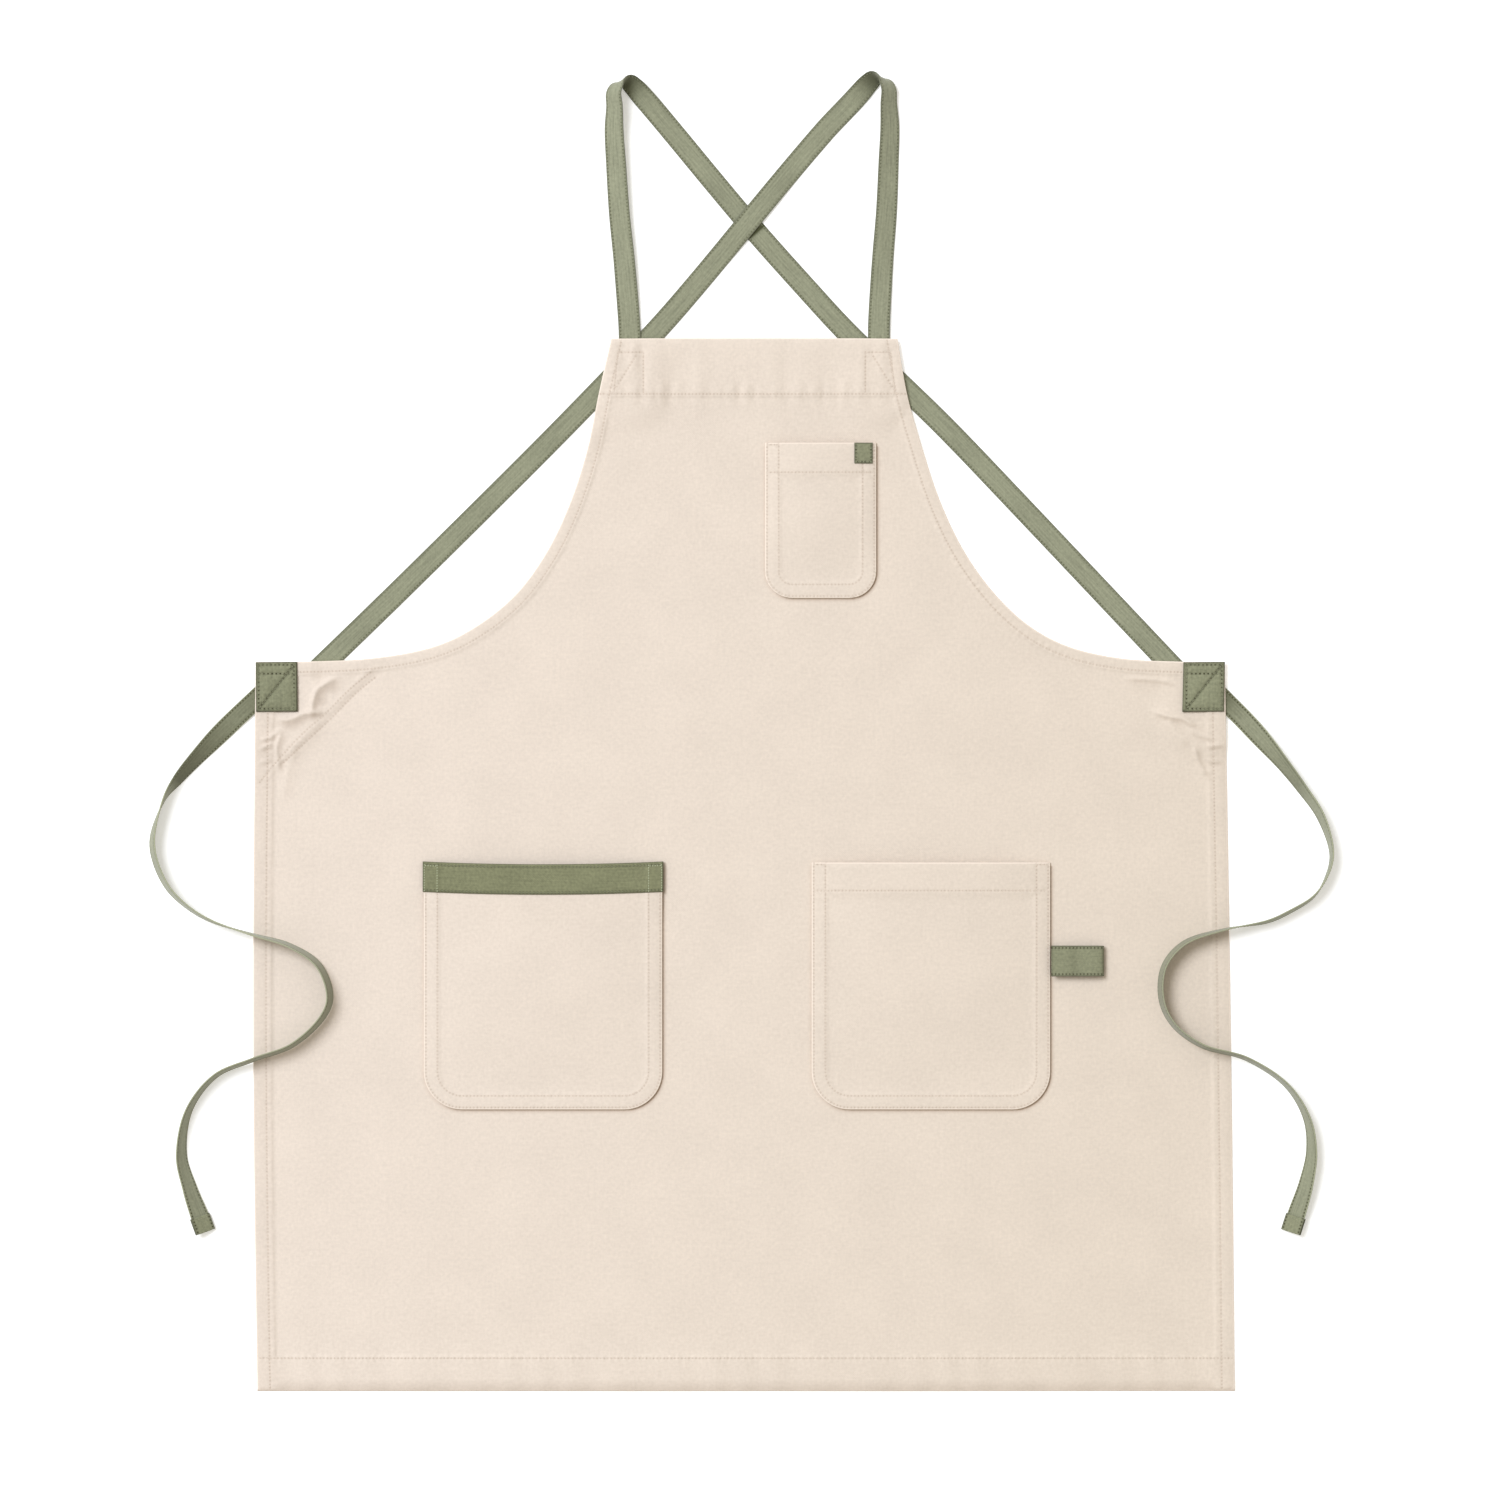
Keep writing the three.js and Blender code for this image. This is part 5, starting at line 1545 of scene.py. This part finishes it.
def tie_stations(side):
    """Middle line and direction across of a waist tie, with the length that its tab covers."""
    corner = waist_corner(side)
    degree = 0.001  # the roll rides along as a third number, small enough not to count in distances
    rows = np.array([(corner + side * out * TIE_SWING, WAIST_LINE - fall * TIE_FALL, roll * degree)
                     for out, fall, roll in TIE_ROUTE[side]])
    back = unit(rows[0] - rows[1]) * TIE_TUCK
    rows = np.vstack((rows[0] + back, rows))
    half = TIE_WIDTH / 2
    places = np.linspace(0, len(rows) - 1, TIE_SAMPLES)
    plan = curve(rows, places, False)
    ahead = np.gradient(plan, axis=0)
    ahead[:, 2] = 0
    ahead = unit(ahead)
    roll = np.radians(np.maximum(plan[:, 2], 0) / degree)
    from_end = (1 - places / (len(rows) - 1)) * len(rows)
    wrap = TAB_CLOTH + SEAM_GAP
    overhang = wrap * np.cos(roll) + (TAB_WIDTH - TIE_WIDTH) / 2 * np.sin(roll)
    on_tab = overhang * (1 - smooth(from_end / 2))
    beyond = side * (plan[:, 0] - body_edge(side, plan[:, 1]))
    sewn = 1 - smooth((beyond - SEAM_GAP) / (2 * TIE_WIDTH))
    at_corner = np.where(plan[:, 1] > WAIST_LINE - PATCH_HEIGHT - TIE_WIDTH, sewn, 0.0)
    under = SEAT_ON_HEM * (1 - smooth((beyond - half / 2) / TIE_WIDTH))
    lower = np.maximum(under * (1 - at_corner), STRAP_LAYER * at_corner) + on_tab
    height = lower + half * np.sin(roll) + WEBBING / 2 * np.abs(np.cos(roll))
    middle = np.column_stack((plan[:, :2], height))
    across = np.column_stack((-ahead[:, 1] * np.cos(roll), ahead[:, 0] * np.cos(roll), side * np.sin(roll)))
    across = across * side
    even = lengths_along(middle)
    count = int(even[-1] / STATION_STEP)
    where = np.linspace(0, even[-1], count + 1)
    middle = np.column_stack([np.interp(where, even, middle[:, k]) for k in range(3)])
    across = np.column_stack([np.interp(where, even, across[:, k]) for k in range(3)])
    cover = TAB_LENGTH - TAB_CLOTH - SEAM_GAP
    way = middle[-1] - middle[-4]
    way[2] = 0
    way = unit(way)
    count = int(cover / STATION_STEP)
    steps = np.arange(1, count + 1)[:, None] / count
    middle = np.vstack((middle, middle[-1] + way * cover * steps))
    across = np.vstack((across, np.repeat(across[-1:], len(steps), axis=0)))
    return middle, across, cover


class APRON_OT_waist_ties(bpy.types.Operator):
    """Lay the two waist ties and fold the tabs over their ends"""

    bl_idname = "apron.waist_ties"
    bl_label = "Waist ties"

    def execute(self, context):
        for name, side in SIDES.items():
            middle, across, cover = tie_stations(side)
            run = lengths_along(middle)
            # Painted shade along the tie
            shade = np.interp(run, *TIE_SHADE[side])
            piece, rows, length = add_band(
                f"waist_tie_{name}_band", middle, across, TIE_WIDTH, WEBBING,
                STRAP_STITCH_INSET, material("green_tie"), shading=shade)
            sew(piece, f"waist_tie_{name}", rows, "green_thread", (TIE_WIDTH, length), held="laid")
            self.tab(name, middle, across, cover)
        return {"FINISHED"}

    def tab(self, name, middle, across, cover):
        end, lean = middle[-1], unit(across[-1])
        ahead = unit(middle[-1] - middle[-3])
        face = unit(np.cross(lean, ahead))
        layer = WEBBING / 2 + SEAM_GAP + TAB_CLOTH / 2
        turns = np.linspace(0.5 * math.pi, -0.5 * math.pi, 11)
        tip = SEAM_GAP
        bend = TAB_LENGTH - cover - TAB_CLOTH / 2 - tip
        upper = [(-cover + cover * t, layer) for t in np.linspace(0, 1, 12)]
        round_end = [(tip + bend * math.cos(a), layer * math.sin(a)) for a in turns]
        lower = [(x, -layer) for x, _ in upper[::-1]]
        route = np.array(upper + round_end + lower)
        line = end + ahead * route[:, :1] + face * route[:, 1:]
        leans = np.repeat(lean[None, :], len(line), axis=0)
        piece, _, length = add_band(
            f"tie_end_tab_{name}_cloth", line, leans, TAB_WIDTH, TAB_CLOTH, TAB_ROW_INSET,
            material("green_trim"))
        outside = layer + TAB_CLOTH / 2
        rows = []
        for turned in (-1, 1):
            start = end - ahead * (cover - 0.0022) + face * outside * turned
            spots = np.linspace(-0.4, 0.4, 9)[:, None] * TAB_WIDTH
            rows.append((start + lean * spots, np.tile(face * turned, (9, 1))))
        sew(piece, f"tie_end_tab_{name}", rows, "green_thread", (TAB_WIDTH, length), pitch=TAB_PITCH,
            held="folded", rests_on=[f"waist_tie_{name}_band"])


class APRON_OT_waist_patches(bpy.types.Operator):
    """Sew the patches over the waist corners"""

    bl_idname = "apron.waist_patches"
    bl_label = "Waist patches"

    def execute(self, context):
        for name, side in SIDES.items():
            outer = waist_corner(side)
            inner = outer - side * PATCH_WIDTH
            left, right = min(outer, inner), max(outer, inner)
            top, foot = WAIST_LINE, WAIST_LINE - PATCH_HEIGHT
            skew = PATCH_SKEW[side]
            outline = np.array(((left - skew, foot), (right - skew, foot + 0.0003),
                                (right, top), (left, top - 0.0004)))
            inset = PATCH_STITCH_INSET
            low, high = (left + inset, foot + inset), (right - inset, top - inset)
            ring = np.array((low, (high[0], low[1]), high, (low[0], high[1]), low))
            cross = np.array((low, high))
            bar = np.array(((low[0], top - PATCH_CROSS_ROW), (high[0], top - PATCH_CROSS_ROW)))
            piece, rows = add_panel(
                f"waist_patch_{name}_cloth", outline, [ring, cross, bar], self.heights,
                material("green_trim"), PATCH_MESH, stitch_pitch=PATCH_STITCH_PITCH,
                shading=lambda points, away: self.shading(points, away, cross, right, foot))
            sew(piece, f"waist_patch_{name}", rows, "green_thread", (PATCH_WIDTH, PATCH_HEIGHT),
                pitch=PATCH_STITCH_PITCH, held="laid", rests_on=["body_cloth"])
        return {"FINISHED"}

    @staticmethod
    def heights(points, seams):
        under = np.full(len(points), 2 * STRAP_LAYER + SEAT_ON_HEM)
        away, _ = seams.around(points)
        puff = PATCH_PUFF * smooth(away / 0.007)
        return under, under + PATCH_CLOTH + seams.relief(points) * PATCH_RELIEF + puff

    @staticmethod
    def shading(points, away, cross, right, foot):
        """Painted shade: dark lower and right edges where the patch's shadow falls, a dark line along the
        slanting row as painted shade in its groove, and darker cloth close to the rim.
        """
        lee = np.maximum(bell(right - points[:, 0], 0.0013), bell(points[:, 1] - foot, 0.0011))
        slant = bell(distance_to(points, *cross), 0.0010)
        return PATCH_EDGE_SHADE * np.maximum(lee, 0.6 * slant) + 0.15 * np.exp(-away / 0.0010)


# Stage

CAMERA_LENS = 250
CAMERA_SENSOR = 36
VIEW_WIDTH = 1.2263
VIEW_MIDDLE = (0.0071, -0.0147)
SUN_TURN = 38
SUN_TILT = 35
SUN_SPREAD = 30
SUN_STRENGTH = 2.32
SKY_STRENGTH = 0.572
FLOOR_SIZE = 8.0
FLOOR_GLOW = 0.25
SKY_COLOUR = (1.05, 1.00, 0.90, 1.0)
SUN_COLOUR = (0.953, 1.000, 1.095)


class APRON_OT_stage(bpy.types.Operator):
    """Make the floor, the light and the camera of the photograph"""

    bl_idname = "apron.stage"
    bl_label = "Stage"

    def execute(self, context):
        scene = context.scene
        finish = Finish("pale_floor")
        place = finish.node("ShaderNodeTexCoord").outputs["Object"]
        speck = finish.value(finish.node("ShaderNodeTexNoise", None, {
            "Vector": place, "Scale": 60}).outputs["Fac"])
        pale = colours().floor
        base = finish.blend(tone(pale, 0.995), tone(pale, 1.0), speck)
        bump = finish.node("ShaderNodeBump", None, {"Strength": 0.02, "Distance": 0.0002, "Height": speck})
        floor_finish = finish.surface(base, speck * 0.02 + 0.9, 0.0, bump.outputs[0], FLOOR_GLOW)
        half = FLOOR_SIZE / 2
        corners = [(-half, -half, 0), (half, -half, 0), (half, half, 0), (-half, half, 0)]
        mesh = bpy.data.meshes.new("floor")
        mesh.from_pydata(corners, [], [(0, 1, 2, 3)])
        mesh.materials.append(floor_finish)
        floor = bpy.data.objects.new("floor", mesh)
        scene.collection.objects.link(floor)

        world = bpy.data.worlds.new("soft_room")
        world.use_nodes = True
        sky = world.node_tree.nodes["Background"]
        sky.inputs["Color"].default_value = SKY_COLOUR
        sky.inputs["Strength"].default_value = SKY_STRENGTH
        scene.world = world

        light = bpy.data.lights.new("window_light", "SUN")
        light.energy = SUN_STRENGTH
        light.color = SUN_COLOUR
        light.angle = math.radians(SUN_SPREAD)
        lamp = bpy.data.objects.new("window_light", light)
        lamp.rotation_euler = (0, -math.radians(SUN_TILT), math.radians(-SUN_TURN))
        scene.collection.objects.link(lamp)

        view = bpy.data.cameras.new("camera")
        view.lens = CAMERA_LENS
        view.sensor_width = CAMERA_SENSOR
        camera = bpy.data.objects.new("camera", view)
        camera.location = (*VIEW_MIDDLE, VIEW_WIDTH * CAMERA_LENS / CAMERA_SENSOR)
        scene.collection.objects.link(camera)
        scene.camera = camera
        scene.view_settings.view_transform = "Standard"
        return {"FINISHED"}


class APRON_PT_panel(bpy.types.Panel):
    """Buttons for the apron's pieces"""

    bl_idname = "APRON_PT_panel"
    bl_label = "Kitchen apron"
    bl_space_type = "VIEW_3D"
    bl_region_type = "UI"
    bl_category = "Apron"

    def draw(self, context):
        for operator in OPERATORS:
            self.layout.operator(operator.bl_idname)


OPERATORS = (
    APRON_OT_stage,
    APRON_OT_shoulder_straps,
    APRON_OT_body,
    APRON_OT_pockets,
    APRON_OT_binding,
    APRON_OT_label,
    APRON_OT_tool_loop,
    APRON_OT_waist_ties,
    APRON_OT_waist_patches,
)
CLASSES = (ApronSizes, ApronColours, *OPERATORS, APRON_PT_panel)


def register():
    for cls in CLASSES:
        bpy.utils.register_class(cls)
    bpy.types.Scene.apron_sizes = PointerProperty(type=ApronSizes)
    bpy.types.Scene.apron_colours = PointerProperty(type=ApronColours)


def unregister():
    del bpy.types.Scene.apron_sizes
    del bpy.types.Scene.apron_colours
    for cls in reversed(CLASSES):
        bpy.utils.unregister_class(cls)


def main():
    register()
    bpy.ops.apron.stage()
    bpy.ops.apron.shoulder_straps()
    bpy.ops.apron.body()
    bpy.ops.apron.pockets()
    bpy.ops.apron.binding()
    bpy.ops.apron.label()
    bpy.ops.apron.tool_loop()
    bpy.ops.apron.waist_ties()
    bpy.ops.apron.waist_patches()


if __name__ == "__main__":
    main()
